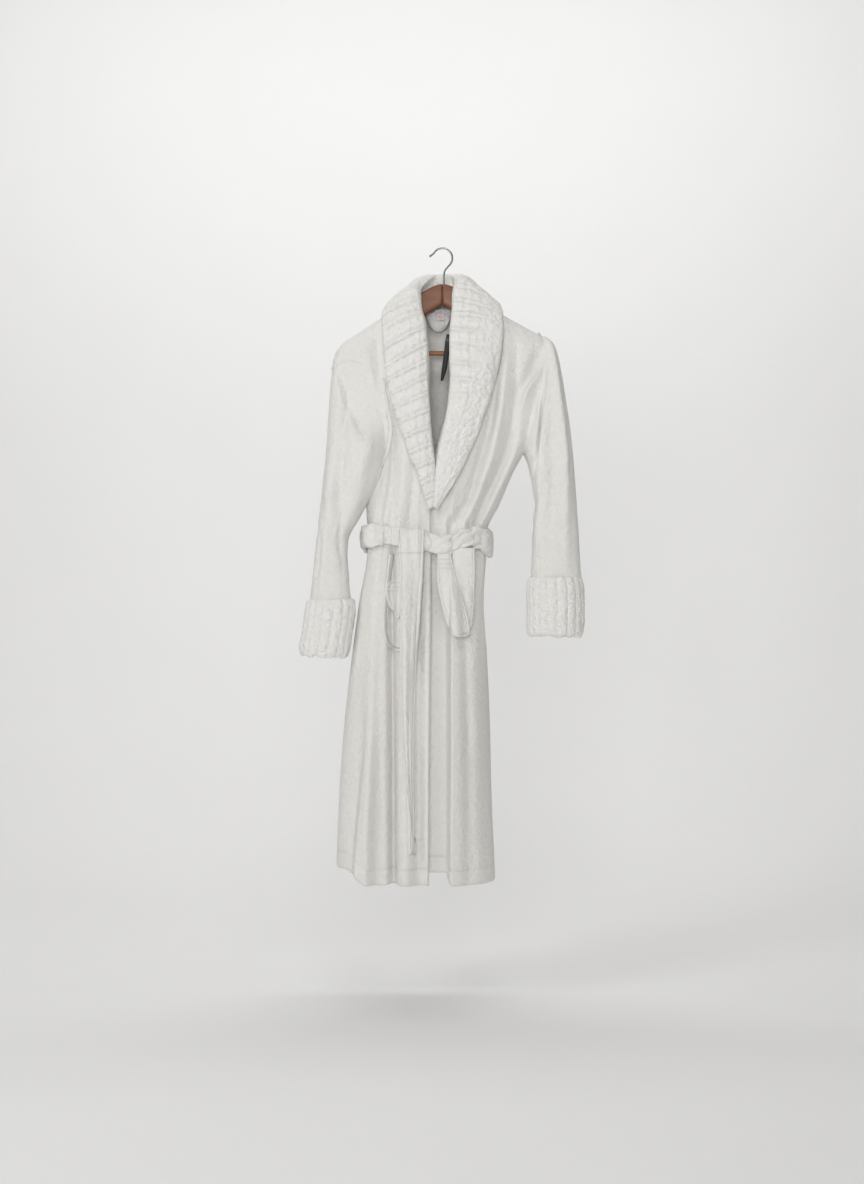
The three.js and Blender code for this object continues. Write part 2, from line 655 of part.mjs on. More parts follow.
function sleeveTube(table, wall, rows) {
  return slab(
    (u, v, layer) => {
      const angle = u * 2 * Math.PI;
      const height = lerp(table[0][0], table[table.length - 1][0], v);
      const [a, b] = [at(table, height, 1), at(table, height, 2)];
      const x = (a + b) / 2 + (Math.abs(a - b) / 2 - layer * wall) * Math.cos(angle);
      const y = at(table, height, 3) + (at(table, height, 4) - layer * wall) * Math.sin(angle);
      return new THREE.Vector3(x, y, height);
    },
    shares(16),
    rows,
    true,
  );
}

function makeSleeves() {
  const sides = [
    ["right", rightSleeve, rightCuff, rightShoulder],
    ["left", leftSleeve, leftCuff, leftShoulder],
  ];
  for (const [name, sleeve, cuff, shoulder] of sides) {
    const cap = rod("Y", 2 * capRadius, 500, shoulder.x, 0, shoulder.z, 48);
    place(`${name}_sleeve`, cut(sleeveTube(sleeve, cloth, shares(9)), cap), terry());
    place(`${name}_cuff`, sleeveTube(cuff, cuffThickness, shares(3)), plush());
  }
}

makeHook();
makeHanger();
makeBody();
makeCollar();
makeBelt();
makeTrim();
makeSleeves();

export default robe;
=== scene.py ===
"""A white bathrobe with a plush shawl collar, tied at the waist and hung on a wooden hanger.

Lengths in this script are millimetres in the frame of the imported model, and become metres when a mesh
is made. A drop is a distance below the rail, so a point's height is minus its drop. The front faces -Y.
Right and left are the wearer's, so the right side is at -X.
"""

import math

import bpy
import numpy as np
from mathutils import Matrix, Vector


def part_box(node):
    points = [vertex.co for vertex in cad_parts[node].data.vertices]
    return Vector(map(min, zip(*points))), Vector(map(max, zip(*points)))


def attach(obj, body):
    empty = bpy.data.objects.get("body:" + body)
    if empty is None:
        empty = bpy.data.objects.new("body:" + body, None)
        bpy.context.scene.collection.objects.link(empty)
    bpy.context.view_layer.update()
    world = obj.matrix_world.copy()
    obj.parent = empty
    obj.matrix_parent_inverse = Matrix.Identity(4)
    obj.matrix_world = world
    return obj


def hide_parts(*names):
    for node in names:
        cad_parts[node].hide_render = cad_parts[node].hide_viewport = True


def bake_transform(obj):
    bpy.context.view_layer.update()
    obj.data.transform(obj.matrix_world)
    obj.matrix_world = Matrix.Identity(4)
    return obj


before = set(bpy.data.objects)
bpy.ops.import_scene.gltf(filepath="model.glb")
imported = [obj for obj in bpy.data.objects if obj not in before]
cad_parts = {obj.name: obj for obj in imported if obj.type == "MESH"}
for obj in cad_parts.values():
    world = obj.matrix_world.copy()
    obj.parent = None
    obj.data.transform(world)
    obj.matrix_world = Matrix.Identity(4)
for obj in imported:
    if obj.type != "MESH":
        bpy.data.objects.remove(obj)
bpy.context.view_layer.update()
scene = bpy.context.scene

# ---- Sizes ----
CLOTH = 5.0  # thickness of the pile fabric
HEM_DROP = 1256.0
HEM_BAND = 32.0  # from the hem to its row of stitches
WAIST_DROP = 583.0
BELT_HEIGHT = 50.0
BELT_THICKNESS = 9.0
BAND = 33.0  # length of one rib of the collar
FLUTE = 17.0  # width of one rib of a cuff
ARCH = 45.0  # height over which a shoulder rounds over
FOLD_STRENGTH = 1.4  # every fold's height is multiplied by this
HALF_GAP = 0.25  # half of the gap between two pieces that meet edge to edge
HANGER_REACH = 208.0  # from the middle to the tip of each arm
HANGER_SWEEP = 13.0  # how far the tips of the arms curve forward
YOKE_DROP = 70.0  # top of the wood under the hook
TIP_DROP = 204.0  # top of the wood at the tips
CROOK = 18.0  # inside radius of the hook
WIRE_RADIUS = 1.8
TAIL_TOP, TAIL_BOTTOM = 563.0, 1194.0
SHORT_TOP, SHORT_BOTTOM = 606.0, 738.0
POCKET_TOP, POCKET_BOTTOM = 612.0, 803.0

# ---- Curves and grids ----


def smooth(knots, values, where):
    """Cubic Hermite curve through the values at the knots, with the mean slope at each knot."""
    k, v = np.asarray(knots, float), np.asarray(values, float)
    w = np.clip(where, k[0], k[-1])
    i = np.clip(np.searchsorted(k, w, side="right") - 1, 0, len(k) - 2)
    slope = np.gradient(v, k)
    h = k[i + 1] - k[i]
    t = (w - k[i]) / h
    start = v[i] * (1 + 2 * t) * (1 - t) ** 2 + v[i + 1] * t * t * (3 - 2 * t)
    return start + h * t * (1 - t) * (slope[i] * (1 - t) - slope[i + 1] * t)


def column(table, where, index=1):
    """One column of a table whose first column is the drop, at some drops."""
    return smooth([row[0] for row in table], [row[index] for row in table], where)


def step(low, high, value):
    """0 below low, 1 above high, and a smooth rise between."""
    t = np.clip((value - low) / (high - low), 0, 1)
    return t * t * (3 - 2 * t)


def lerp(a, b, t):
    return a + (b - a) * t


def parameters(columns, rows, power=1.0):
    """u across and v down a grid, both from 0 to 1, as arrays of rows by columns."""
    return np.meshgrid(np.linspace(0, 1, columns), np.linspace(0, 1, rows) ** power)


def rim(share, edge):
    """1 in the middle of a piece, and a quarter circle down to 0 within an edge of its border."""
    t = np.clip(np.minimum(share, 1 - share) / edge, 0, 1)
    return np.sqrt(1 - (1 - t) ** 2)


def squared(wave, power):
    """A sine or cosine flattened towards -1 and 1, which turns an ellipse into a rounded box."""
    return np.sign(wave) * np.abs(wave) ** power


def stack(x, y, z):
    return np.stack(np.broadcast_arrays(x, y, z), axis=-1).astype(float)


def grid_normals(points, wraps=False):
    """Unit cross product of the two gradients of a grid of points."""
    if wraps:
        across = np.roll(points, -1, 1) - np.roll(points, 1, 1)
    else:
        across = np.gradient(points, axis=1)
    normal = np.cross(across, np.gradient(points, axis=0))
    return normal / np.maximum(np.linalg.norm(normal, axis=2, keepdims=True), 1e-9)


def noise(shape, cells, seed):
    """Smooth random values from -1 to 1 on a grid, from a coarser random grid by cubic steps."""
    local = np.random.default_rng(seed)
    rows, columns = shape
    down, across = max(2, int(cells[0])), max(2, int(cells[1]))
    coarse = local.uniform(-1, 1, (down + 2, across + 2))
    y, x = np.linspace(0, down, rows), np.linspace(0, across, columns)
    i, j = y.astype(int)[:, None], x.astype(int)[None, :]
    fy, fx = y[:, None] - i, x[None, :] - j
    fy, fx = fy * fy * (3 - 2 * fy), fx * fx * (3 - 2 * fx)
    top = coarse[i, j] * (1 - fx) + coarse[i, j + 1] * fx
    low = coarse[i + 1, j] * (1 - fx) + coarse[i + 1, j + 1] * fx
    return top * (1 - fy) + low * fy


# ---- Meshes ----


def quads(rows, columns, wraps=False):
    """Corner numbers of the faces of a grid."""
    r, c = np.meshgrid(np.arange(rows - 1), np.arange(columns if wraps else columns - 1), indexing="ij")
    right = (c + 1) % columns
    upper, lower = r * columns, (r + 1) * columns
    return np.stack([upper + c, upper + right, lower + right, lower + c], -1).reshape(-1, 4)


def two_sided(outer, inner, wraps=False):
    """A closed skin: an outer grid, an inner grid turned round, and a wall along each open border."""
    rows, columns = outer.shape[:2]
    count = rows * columns
    ids = np.arange(count).reshape(rows, columns)
    faces = [quads(rows, columns, wraps), quads(rows, columns, wraps)[:, ::-1] + count]

    def wall(line):
        nxt = np.roll(line, -1) if wraps else line[1:]
        cur = line if wraps else line[:-1]
        return np.stack([nxt, cur, cur + count, nxt + count], -1)

    faces += [wall(ids[0]), wall(ids[-1])[:, ::-1]]
    if not wraps:
        faces += [wall(ids[:, 0])[:, ::-1], wall(ids[:, -1])]
    return np.concatenate([outer.reshape(-1, 3), inner.reshape(-1, 3)]), np.concatenate(faces)


def volume(points, faces):
    """Six times the volume that the faces enclose, whose sign tells which way they point."""
    a, b, c, d = (points[faces[:, k]] for k in range(4))
    first = (a * np.cross(b, c)).sum()
    return first + (a * np.cross(c, d)).sum()


def piece(name, parts, material, body=None, replaces=(), attributes=None):
    """An object made of one or more skins, each turned so that its faces point out."""
    points, faces, count = [], [], 0
    for part_points, part_faces in parts:
        if volume(part_points, part_faces) < 0:
            part_faces = part_faces[:, ::-1]
        points.append(part_points)
        faces.append(part_faces + count)
        count += len(part_points)
    points, faces = np.concatenate(points) * 0.001, np.concatenate(faces)
    mesh = bpy.data.meshes.new(name)
    mesh.vertices.add(len(points))
    mesh.vertices.foreach_set("co", points.astype(np.float32).ravel())
    mesh.loops.add(faces.size)
    mesh.loops.foreach_set("vertex_index", faces.astype(np.int32).ravel())
    mesh.polygons.add(len(faces))
    mesh.polygons.foreach_set("loop_start", np.arange(0, faces.size, 4, dtype=np.int32))
    mesh.polygons.foreach_set("use_smooth", np.ones(len(faces), bool))
    mesh.update(calc_edges=True)
    mesh.validate()
    for key, value in (attributes or {}).items():
        layer = mesh.attributes.new(key, "FLOAT", "POINT")
        layer.data.foreach_set("value", np.asarray(value, np.float32).ravel())
    mesh.materials.append(material)
    made = bpy.data.objects.new(name, mesh)
    scene.collection.objects.link(made)
    if replaces:
        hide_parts(*replaces)
    if body:
        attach(made, body)
    return made


# ---- Materials ----


class Value:
    """A socket that carries a number, so that + - * / on it add Math nodes."""

    def __init__(self, tree, socket):
        self.tree = tree
        self.socket = socket

    def math(self, operation, *others, clamp=False):
        made = self.tree.nodes.new("ShaderNodeMath")
        made.operation = operation
        made.use_clamp = clamp
        for index, value in enumerate((self,) + others):
            if isinstance(value, Value):
                self.tree.links.new(value.socket, made.inputs[index])
            else:
                made.inputs[index].default_value = value
        return Value(self.tree, made.outputs[0])

    def __add__(self, other):
        return self.math("ADD", other)

    def __sub__(self, other):
        return self.math("SUBTRACT", other)

    def __mul__(self, other):
        return self.math("MULTIPLY", other)

    def __rsub__(self, other):
        return (self * -1.0).math("ADD", other)

    __radd__ = __add__
    __rmul__ = __mul__


class Finish:
    """A material built from nodes, with one Principled shader."""

    def __init__(self, name, roughness, **uniform):
        self.material = bpy.data.materials.new(name)
        self.material.use_nodes = True
        self.tree = self.material.node_tree
        self.shader = self.tree.nodes["Principled BSDF"]
        self.shader.inputs["Roughness"].default_value = roughness
        for key, value in uniform.items():
            self.shader.inputs[key.replace("_", " ")].default_value = value
        self.place = self.node("ShaderNodeTexCoord").outputs["Object"]

    def node(self, kind, settings=None, **values):
        made = self.tree.nodes.new(kind)
        for key, value in (settings or {}).items():
            setattr(made, key, value)
        for key, value in values.items():
            self.put(made.inputs[key.replace("_", " ")], value)
        return made

    def put(self, socket, value):
        if isinstance(value, Value):
            value = value.socket
        if isinstance(value, bpy.types.NodeSocket):
            self.tree.links.new(value, socket)
        else:
            socket.default_value = value

    def noise(self, scale, detail=3.0, roughness=0.55, stretch=(1, 1, 1)):
        scaled = self.node("ShaderNodeVectorMath", {"operation": "MULTIPLY"})
        self.put(scaled.inputs[0], self.place)
        self.put(scaled.inputs[1], stretch)
        made = self.node("ShaderNodeTexNoise", Vector=scaled.outputs[0], Scale=scale, Detail=detail,
                         Roughness=roughness)
        return Value(self.tree, made.outputs["Fac"])

    def attribute(self, name):
        return Value(self.tree, self.node("ShaderNodeAttribute", {"attribute_name": name}).outputs["Fac"])

    def mix(self, factor, low, high):
        made = self.node("ShaderNodeMix", {"data_type": "RGBA"})
        for index, value in ((0, factor), (6, low), (7, high)):
            if isinstance(value, tuple):
                value = (*value, 1)
            self.put(made.inputs[index], value)
        return made.outputs[2]

    def color(self, value):
        self.put(self.shader.inputs["Base Color"], value)

    def bump(self, height, distance, strength=1.0):
        made = self.node("ShaderNodeBump", Height=height, Distance=distance, Strength=strength)
        self.put(self.shader.inputs["Normal"], made.outputs["Normal"])


def pile_fabric(name, light, shade, depth, tuft):
    """Short white pile: fine tufts, larger brushed patches, and darker hollows between the tufts, which are
    painted shade, since the colour darkens where the bump sinks.
    """
    made = Finish(name, 0.95, Sheen_Weight=0.12, Sheen_Roughness=0.6, Specular_IOR_Level=0.15,
                  Subsurface_Weight=0.25, Subsurface_Radius=(1.0, 0.88, 0.7), Subsurface_Scale=0.004)
    fine = made.noise(1 / tuft, 3.0, 0.7)
    patch = made.noise(110.0, 3.0, 0.6)
    wide = made.noise(9.0, 2.0)
    # The tone is partly random and partly painted shade: the fine and patch noises also drive the bump, so
    # the colour darkens where the pile sinks.
    tone = (fine * 0.5 + patch * 0.6 + wide * 0.25).math("SUBTRACT", 0.25, clamp=True)
    # This attribute darkens the colour: along real stitch lines, and on the collar it is painted shade in the
    # grooves beside the cords.
    stitch_and_groove_shade = made.attribute("stitch_and_groove_shade")
    base = made.mix(tone, shade, light)
    made.color(made.mix(stitch_and_groove_shade, base, tuple(c * 0.86 for c in shade)))
    made.bump(fine * 0.5 + patch * 1.4 - stitch_and_groove_shade * 0.8, depth)
    return made.material


def varnished_wood(name, dark, light, roughness):
    """Grain that runs along X: long stretched streaks, fine pores and a slow change of tone."""
    made = Finish(name, roughness, Coat_Weight=0.15, Coat_Roughness=0.25)
    streak = made.noise(60.0, 6.0, 0.6, stretch=(0.12, 1, 1))
    pores = made.noise(900.0, 2.0, 0.6, stretch=(0.05, 1, 1))
    tone = (streak * 1.5).math("SUBTRACT", 0.28, clamp=True)
    base = made.mix(tone, dark, light)
    made.color(made.mix((pores * 0.35).math("ADD", 0.0, clamp=True), base, dark))
    made.put(made.shader.inputs["Roughness"], (pores * 0.25 + (roughness - 0.1)).math("ADD", 0.0, clamp=True))
    made.bump(pores * 0.6 + streak * 0.4, 0.0004, 0.4)
    return made.material


def plated_steel(name):
    made = Finish(name, 0.22, Metallic=1.0)
    rub = made.noise(700.0, 3.0, 0.6)
    made.color(made.mix(rub, (0.16, 0.165, 0.175), (0.34, 0.345, 0.36)))
    made.put(made.shader.inputs["Roughness"], (rub * 0.25 + 0.12).math("ADD", 0.0, clamp=True))
    made.bump(rub, 0.0001, 0.3)
    return made.material


def woven_label(name, base, thread):
    """A satin weave: fine crossed ribs over a plain colour."""
    made = Finish(name, 0.6, Sheen_Weight=0.2)
    along = made.noise(1500.0, 1.0, 0.5, stretch=(1, 1, 0.2))
    across = made.noise(1500.0, 1.0, 0.5, stretch=(0.2, 1, 1))
    weave = (along + across) * 0.5
    mark = made.attribute("stitch_and_groove_shade")
    made.color(made.mix(mark, made.mix(weave, base, tuple(c * 1.25 + 0.004 for c in base)), thread))
    made.bump(weave, 0.0002, 0.6)
    return made.material


TERRY = pile_fabric("terry_white", (0.88, 0.873, 0.85), (0.76, 0.748, 0.712), 0.0026, 0.0024)
PLUSH = pile_fabric("plush_white", (0.92, 0.914, 0.895), (0.79, 0.78, 0.75), 0.0036, 0.0036)
WOOD = varnished_wood("hanger_wood", (0.13, 0.038, 0.013), (0.31, 0.118, 0.05), 0.45)
BAR_WOOD = varnished_wood("bar_wood", (0.24, 0.09, 0.03), (0.46, 0.21, 0.085), 0.5)
STEEL = plated_steel("hook_steel")
BLACK_LABEL = woven_label("label_black", (0.006, 0.006, 0.008), (0.16, 0.16, 0.17))
WHITE_LABEL = woven_label("label_white", (0.75, 0.70, 0.69), (0.45, 0.10, 0.12))

# ---- Body of the robe ----

# Drop, right edge, left edge, half depth in front, half depth behind.
BODY = [
    (70, -221, 224, 40, 40),
    (200, -219.5, 211, 48, 48),
    (245, -218, 212, 51, 51),
    (280, -207, 209, 54, 53),
    (336, -188, 191, 58, 56),
    (405, -158, 164, 60, 60),
    (450, -146, 140, 61, 60),
    (515, -152, 112, 60, 58),
    (558, -150, 90, 58, 57),
    (608, -150, 88, 58, 57),
    (705, -166, 82, 70, 69),
    (802, -179, 88, 80, 79),
    (932, -194, 94, 91, 90),
    (1094, -206, 98, 98, 96),
    (1256, -212, 105, 100, 97),
]
# Drop of the outer face on top of the shoulders, at an x.
RIDGE = [
    (-240, 290), (-222, 250), (-218, 226), (-214, 212), (-208, 202), (-197, 189), (-175, 175), (-145, 154),
    (-121, 138), (-90, 113), (-60, 93), (-30, 77), (0, 66), (30, 77), (60, 92), (90, 111), (121, 133),
    (145, 147), (175, 164), (195, 175), (208, 187), (216, 197), (226, 214), (240, 246),
]
# x of the front edges, below the shoulders.
RIGHT_EDGE = [(78, -60), (91, -56), (115, -47), (135, -38), (200, -28), (300, -26), (402, -22), (560, -24),
              (640, -22), (900, -24), (1256, -26)]
LEFT_EDGE = [(78, 60), (91, 56), (112, 40), (142, 22), (182, 14), (272, 15), (322, 9), (402, -12), (462, -27),
             (560, -33), (900, -36), (1256, -40)]

# Folds: height, width on the right side, width on the left side, then points of drop, x and strength.
FRONT_FOLDS = [
    # skirt, wearer's right
    (11, 13, 14, [(620, -130, 0.3), (760, -138, 0.6), (1000, -142, 0.9), (1256, -148, 1.1)]),
    (-24, 9, 6, [(612, -97, 0.7), (680, -99, 0.7), (780, -98, 0.8), (900, -97, 1.0), (1256, -95, 1.0)]),
    (9, 13, 14, [(640, -80, 0.3), (800, -75, 0.8), (1256, -72, 1.0)]),
    (-7, 8, 9, [(640, -50, 0.6), (900, -47, 1.0), (1256, -47, 1.0)]),
    (17, 3.5, 24, [(900, -146, 0.0), (1000, -151, 0.4), (1100, -161, 0.9), (1256, -174, 1.1)]),
    (4, 7, 6, [(640, -30, 0.6), (1256, -31, 1.0)]),
    # skirt, wearer's left
    (15, 3, 46, [(640, 17, 0.1), (780, 17, 1.0), (1256, 16, 1.0)]),
    (4, 13, 14, [(640, 58, 0.7), (900, 66, 1.0), (1256, 74, 0.6)]),
    (-4, 9, 10, [(700, 40, 0.5), (900, 46, 0.9), (1256, 50, 0.6)]),
    # chest, wearer's right
    (-9, 8, 9, [(330, -96, 0.2), (390, -97, 1.0), (470, -101, 1.0), (550, -116, 0.6)]),
    (6, 11, 14, [(360, -72, 0.3), (440, -76, 1.0), (550, -84, 0.8)]),
    (-4, 8, 8, [(450, -56, 0.2), (550, -66, 1.0)]),
    # chest, wearer's left: drapes from the shoulder down to the knot
    (-9, 10, 9, [(170, 112, 0.3), (260, 106, 0.6), (350, 94, 1.0), (440, 70, 1.0), (515, 46, 1.0),
                 (556, 18, 0.5)]),
    (8, 10, 9, [(200, 128, 0.3), (300, 118, 0.7), (420, 96, 1.0), (500, 66, 1.0), (556, 42, 0.7)]),
    (-7, 8, 8, [(230, 146, 0.3), (330, 141, 0.8), (430, 118, 1.0), (510, 82, 1.0), (556, 64, 0.6)]),
    (5, 8, 8, [(380, 154, 0.6), (440, 134, 1.0), (500, 104, 1.0), (552, 78, 0.6)]),
    (3, 8, 8, [(430, 28, 0.0), (500, 22, 1.0), (552, 6, 0.7)]),
    # a crease from the tip of the wearer's left shoulder to the armhole
    (10, 4, 18, [(218, 211, 0.4), (250, 193, 1.0), (285, 168, 1.0), (330, 155, 0.4), (380, 150, 0.0)]),
    (-9, 14, 5, [(200, 196, 0.3), (225, 189, 1.0), (255, 175, 1.0), (290, 156, 0.6), (330, 148, 0.0)]),
    # yokes
    (4, 12, 14, [(180, -160, 0.4), (215, -152, 1.0), (300, -142, 0.5)]),
    (-3, 10, 10, [(170, -128, 0.4), (240, -126, 1.0), (320, -112, 0.6)]),
]
BACK_FOLDS = [
    (8, 22, 22, [(640, -150, 0.3), (900, -160, 0.9), (1256, -168, 1.0)]),
    (-9, 18, 18, [(620, -108, 0.3), (900, -112, 0.9), (1256, -116, 1.0)]),
    (8, 24, 24, [(620, -62, 0.3), (900, -62, 0.8), (1256, -60, 1.0)]),
    (-9, 18, 18, [(620, -18, 0.3), (900, -14, 0.9), (1256, -10, 1.0)]),
    (8, 24, 24, [(620, 30, 0.3), (900, 36, 0.9), (1256, 42, 1.0)]),
    (-6, 14, 14, [(620, 66, 0.3), (900, 72, 0.8), (1256, 76, 0.8)]),
    (-7, 30, 30, [(200, -10, 0.3), (360, -8, 0.7), (540, -26, 1.0)]),
    (6, 20, 20, [(280, 90, 0.3), (420, 70, 1.0), (550, 40, 0.8)]),
    (6, 20, 20, [(280, -110, 0.3), (420, -96, 1.0), (550, -90, 0.8)]),
]
# Small gathers that the belt pulls into the fabric above and below it.
FRONT_GATHERS = [-138, -122, -104, -88, -70, -50, 6, 24, 44, 62, 78]
BACK_GATHERS = [-140, -122, -98, -76, -52, -30, -6, 16, 38, 60, 78]


def relief(folds, gathers, x, drop):
    """How far the cloth stands out: a sum of bell-shaped folds along their lines, and of gathers that
    fade with the distance from the belt."""
    total = np.zeros(np.broadcast(x, drop).shape)
    for height, right, left, line in folds:
        away = x - column(line, drop)
        strength = column(line, drop, 2) * step(line[0][0] - 60, line[0][0] + 20, drop)
        strength = strength * (1 - step(line[-1][0] - 10, line[-1][0] + 60, drop))
        total += FOLD_STRENGTH * height * strength * np.exp(-((away / np.where(away < 0, right, left)) ** 2))
    reach = np.abs(drop - WAIST_DROP) - BELT_HEIGHT / 2
    for index, centre in enumerate(gathers):
        lean = centre + (drop - WAIST_DROP) * (centre + 30) * 0.0006
        tall = np.exp(-np.clip(reach, 0, None) / (26 + 17 * (index % 3)))
        total += (2.2 + 1.4 * (index % 2)) * tall * np.exp(-(((x - lean) / 5.2) ** 2))
    return total


def contour(drop):
    """Middle, half width, and half depths in front and behind, of the body at some drops."""
    right, left = column(BODY, drop, 1), column(BODY, drop, 2)
    return (right + left) / 2, (left - right) / 2, column(BODY, drop, 3), column(BODY, drop, 4)


def angle_at(x, drop):
    """The angle round the body of an x, from 0 at its right side to pi at its left."""
    middle, half, _, _ = contour(drop)
    return np.arccos(np.clip((middle - x) / half, -1, 1))


def body_y(side, x, drop):
    """y of the outer face, in front for side -1 and behind for side 1. In plan the body is a rounded
    box, sin(angle) ** 0.55, which closes to the ridge of the shoulders at its top."""
    _, _, front, back = contour(drop)
    angle = angle_at(x, drop)
    under = np.clip((drop - column(RIDGE, x)) / ARCH, 0, 1)
    arch = np.sqrt(1 - (1 - under) ** 2)
    sine = np.sin(angle)
    flat = sine**0.55
    folds, gathers = (FRONT_FOLDS, FRONT_GATHERS) if side < 0 else (BACK_FOLDS, BACK_GATHERS)
    out = (front if side < 0 else back) * flat * arch
    out = out + relief(folds, gathers, x, drop) * step(0, 0.5, sine) * step(0.1, 0.9, under)
    sweep = -HANGER_SWEEP * (np.abs(x) / HANGER_REACH) ** 2 * (1 - step(0, 2 * ARCH, drop - column(RIDGE, x)))
    return sweep + side * (out + HALF_GAP)


def left_lap(x, drop):
    """How far the left front sinks behind the right one where they overlap."""
    open_below = step(620, 760, drop)
    deep = lerp(9.0, 21.0, open_below)
    return deep * step(0, lerp(20, 9, open_below), lerp(0, 14, open_below) - x) * step(380, 440, drop)


def front_y(x, drop, lift=0.0):
    """y of a thing that lies on the front, lifted off it by some distance."""
    return body_y(-1, x, drop) - lift


def side_hem(x):
    """How much higher the hem hangs at the wearer's right side than in front."""
    return 27.0 * step(144, 196, -x)


def left_hem(x):
    """How much higher the hem hangs on the lap of the left front than beside it."""
    return 22.0 * step(-12, -4, -x)


def panel(side, right, left, columns, rows, lap=None, lift=side_hem):
    """A panel between two edges that are angles round the body at a drop. Each column starts on the
    ridge of the shoulders and runs down to the hem."""
    u, v = parameters(columns, rows, 1.15)
    start = np.full(u.shape, 100.0)
    for _ in range(12):
        middle, half, _, _ = contour(start)
        x = middle - half * np.cos(lerp(right(start), left(start), u))
        start = 0.5 * start + 0.5 * column(RIDGE, x)
    hem = HEM_DROP
    for _ in range(4):
        middle, half, _, _ = contour(hem)
        hem = HEM_DROP - lift(middle - half * np.cos(lerp(right(hem), left(hem), u)))
    drop = lerp(start, hem, v)
    middle, half, _, _ = contour(drop)
    x = middle - half * np.cos(lerp(right(drop), left(drop), u))
    y = body_y(side, x, drop) + (lap(x, drop) if lap else 0.0)
    above = hem - drop - HEM_BAND
    hemmed = 1 - step(-1, 2, above)
    stitch = 0.5 * np.exp(-((above / 1.6) ** 2))
    y = y + side * (1.2 * hemmed - 3.0 * stitch)
    soft = noise(u.shape, (rows / 14, columns / 12), 3 + side) * 0.9
    soft = soft + noise(u.shape, (rows / 5, columns / 5), 9) * 0.35
    y = y + side * soft * step(0, 40, drop - start)
    return stack(x, y, -drop), stitch


def thickness(shape, edge_u, edge_v, amount=CLOTH):
    """Full thickness in the middle, rounding off near each border."""
    u, v = parameters(shape[1], shape[0])
    return amount * (0.12 + 0.88 * np.minimum(rim(u, edge_u), rim(v, edge_v)))


def rolled(surface, amount, edge_u=0.02, edge_v=0.004, outward=None):
    """A wall whose borders are rolled: near a border the outer face sinks as the inner one rises."""
    normal = grid_normals(surface)
    if outward is not None:
        facing = (normal * np.asarray(outward)).sum(2)
        if np.mean(facing) < 0:
            normal = -normal
    full = np.full(surface.shape[:2], float(amount))
    thin = thickness(surface.shape[:2], edge_u, edge_v, amount)
    sink = ((full - thin) / 2)[..., None]
    return two_sided(surface - normal * sink, surface - normal * (full[..., None] - sink))


def stitch_and_shade_masks(*masks):
    """The stitch mask of a piece, or on the collar its painted groove shade, for its outer and then its inner
    grid.
    """
    return {"stitch_and_groove_shade": np.concatenate([np.concatenate([m.ravel(), m.ravel()]) for m in masks])}


def hang(obj, flat, area, rests_on):
    """Takes a piece, its flat size, its area and what it rests on, and does nothing with them."""


def make_body():
    """Three panels: the right front, the left front behind it, and the back."""
    zero = lambda drop: np.full(np.shape(drop), 0.0)
    full = lambda drop: np.full(np.shape(drop), math.pi)
    right_edge = lambda drop: angle_at(column(RIGHT_EDGE, drop), drop)
    left_edge = lambda drop: angle_at(column(LEFT_EDGE, drop), drop)
    made = []
    surface, stitch = panel(-1, zero, right_edge, 92, 330)
    made.append(piece("robe_right_front", [rolled(surface, CLOTH, outward=(0, -1, 0))], TERRY, "robe",
                      ["right_front"], stitch_and_shade_masks(stitch)))
    surface, stitch = panel(-1, left_edge, full, 92, 330, left_lap, left_hem)
    made.append(piece("robe_left_front", [rolled(surface, CLOTH, outward=(0, -1, 0))], TERRY, "robe",
                      ["left_front"], stitch_and_shade_masks(stitch)))
    surface, stitch = panel(1, zero, full, 150, 250)
    made.append(piece("robe_back", [rolled(surface, CLOTH, outward=(0, 1, 0))], TERRY, "robe",
                      ["back_panel"], stitch_and_shade_masks(stitch)))
    for cloth, flat, area in zip(made, ((0.25, 1.19), (0.24, 1.19), (0.46, 1.19)), (0.25, 0.225, 0.455)):
        hang(cloth, flat, area, ["hanger_right_wood", "hanger_left_wood"])


# ---- Collar ----

# Stations along each half, from the middle of the back of the neck: crest, then free edge. Where y is
# None the point lies on the front. The last number is how far the roll bulges.
RIGHT_COLLAR = [
    ((-0.2, 42, -42), (-0.2, 58, -135), 8),
    ((-19, 36, -43), (-46, 56, -133), 12),
    ((-33, 12, -54), (-88, 40, -126), 13),
    ((-45, -12, -74), (-114, 4, -120), 11),
    ((-44, -30, -98), (-122, -28, -134), 12),
    ((-40, -46, -130), (-121, -46, -152), 11),
    ((-33, None, -165), (-119, None, -182), 9),
    ((-29, None, -208), (-116, None, -230), 9),
    ((-28, None, -262), (-109, None, -280), 9),
    ((-25, None, -320), (-97, None, -330), 9),
    ((-21, None, -378), (-78, None, -384), 8),
    ((-15, None, -430), (-57, None, -436), 7),
    ((-14, None, -476), (-41, None, -482), 5),
    ((-19, None, -522), (-29, None, -526), 1),
]
LEFT_COLLAR = [
    ((0.2, 42, -42), (0.2, 58, -135), 8),
    ((20, 36, -43), (46, 56, -133), 12),
    ((28, 12, -50), (86, 40, -121), 14),
    ((26, -12, -64), (111, 4, -112), 14),
    ((20, -30, -91), (121, -28, -127), 13),
    ((18, -46, -128), (121, -46, -150), 11),
    ((14, None, -165), (120, None, -176), 9),
    ((13, None, -208), (115, None, -222), 9),
    ((14, None, -262), (105, None, -270), 9),
    ((9, None, -318), (92, None, -318), 9),
    ((0, None, -365), (75, None, -366), 8),
    ((-9, None, -406), (55, None, -410), 7),
    ((-16, None, -456), (29, None, -462), 5),
    ((-20, None, -520), (-10, None, -524), 1),
]
COLLAR_THICKNESS = 13.0


def along(points, share):
    """A smooth curve through points, at shares of its way, knots spread by distance."""
    points = np.asarray(points, float)
    gaps = np.linalg.norm(np.diff(points, axis=0), axis=1)
    knots = np.concatenate([[0], np.cumsum(gaps)]) / gaps.sum()
    return np.stack([smooth(knots, points[:, k], share) for k in range(3)], -1)


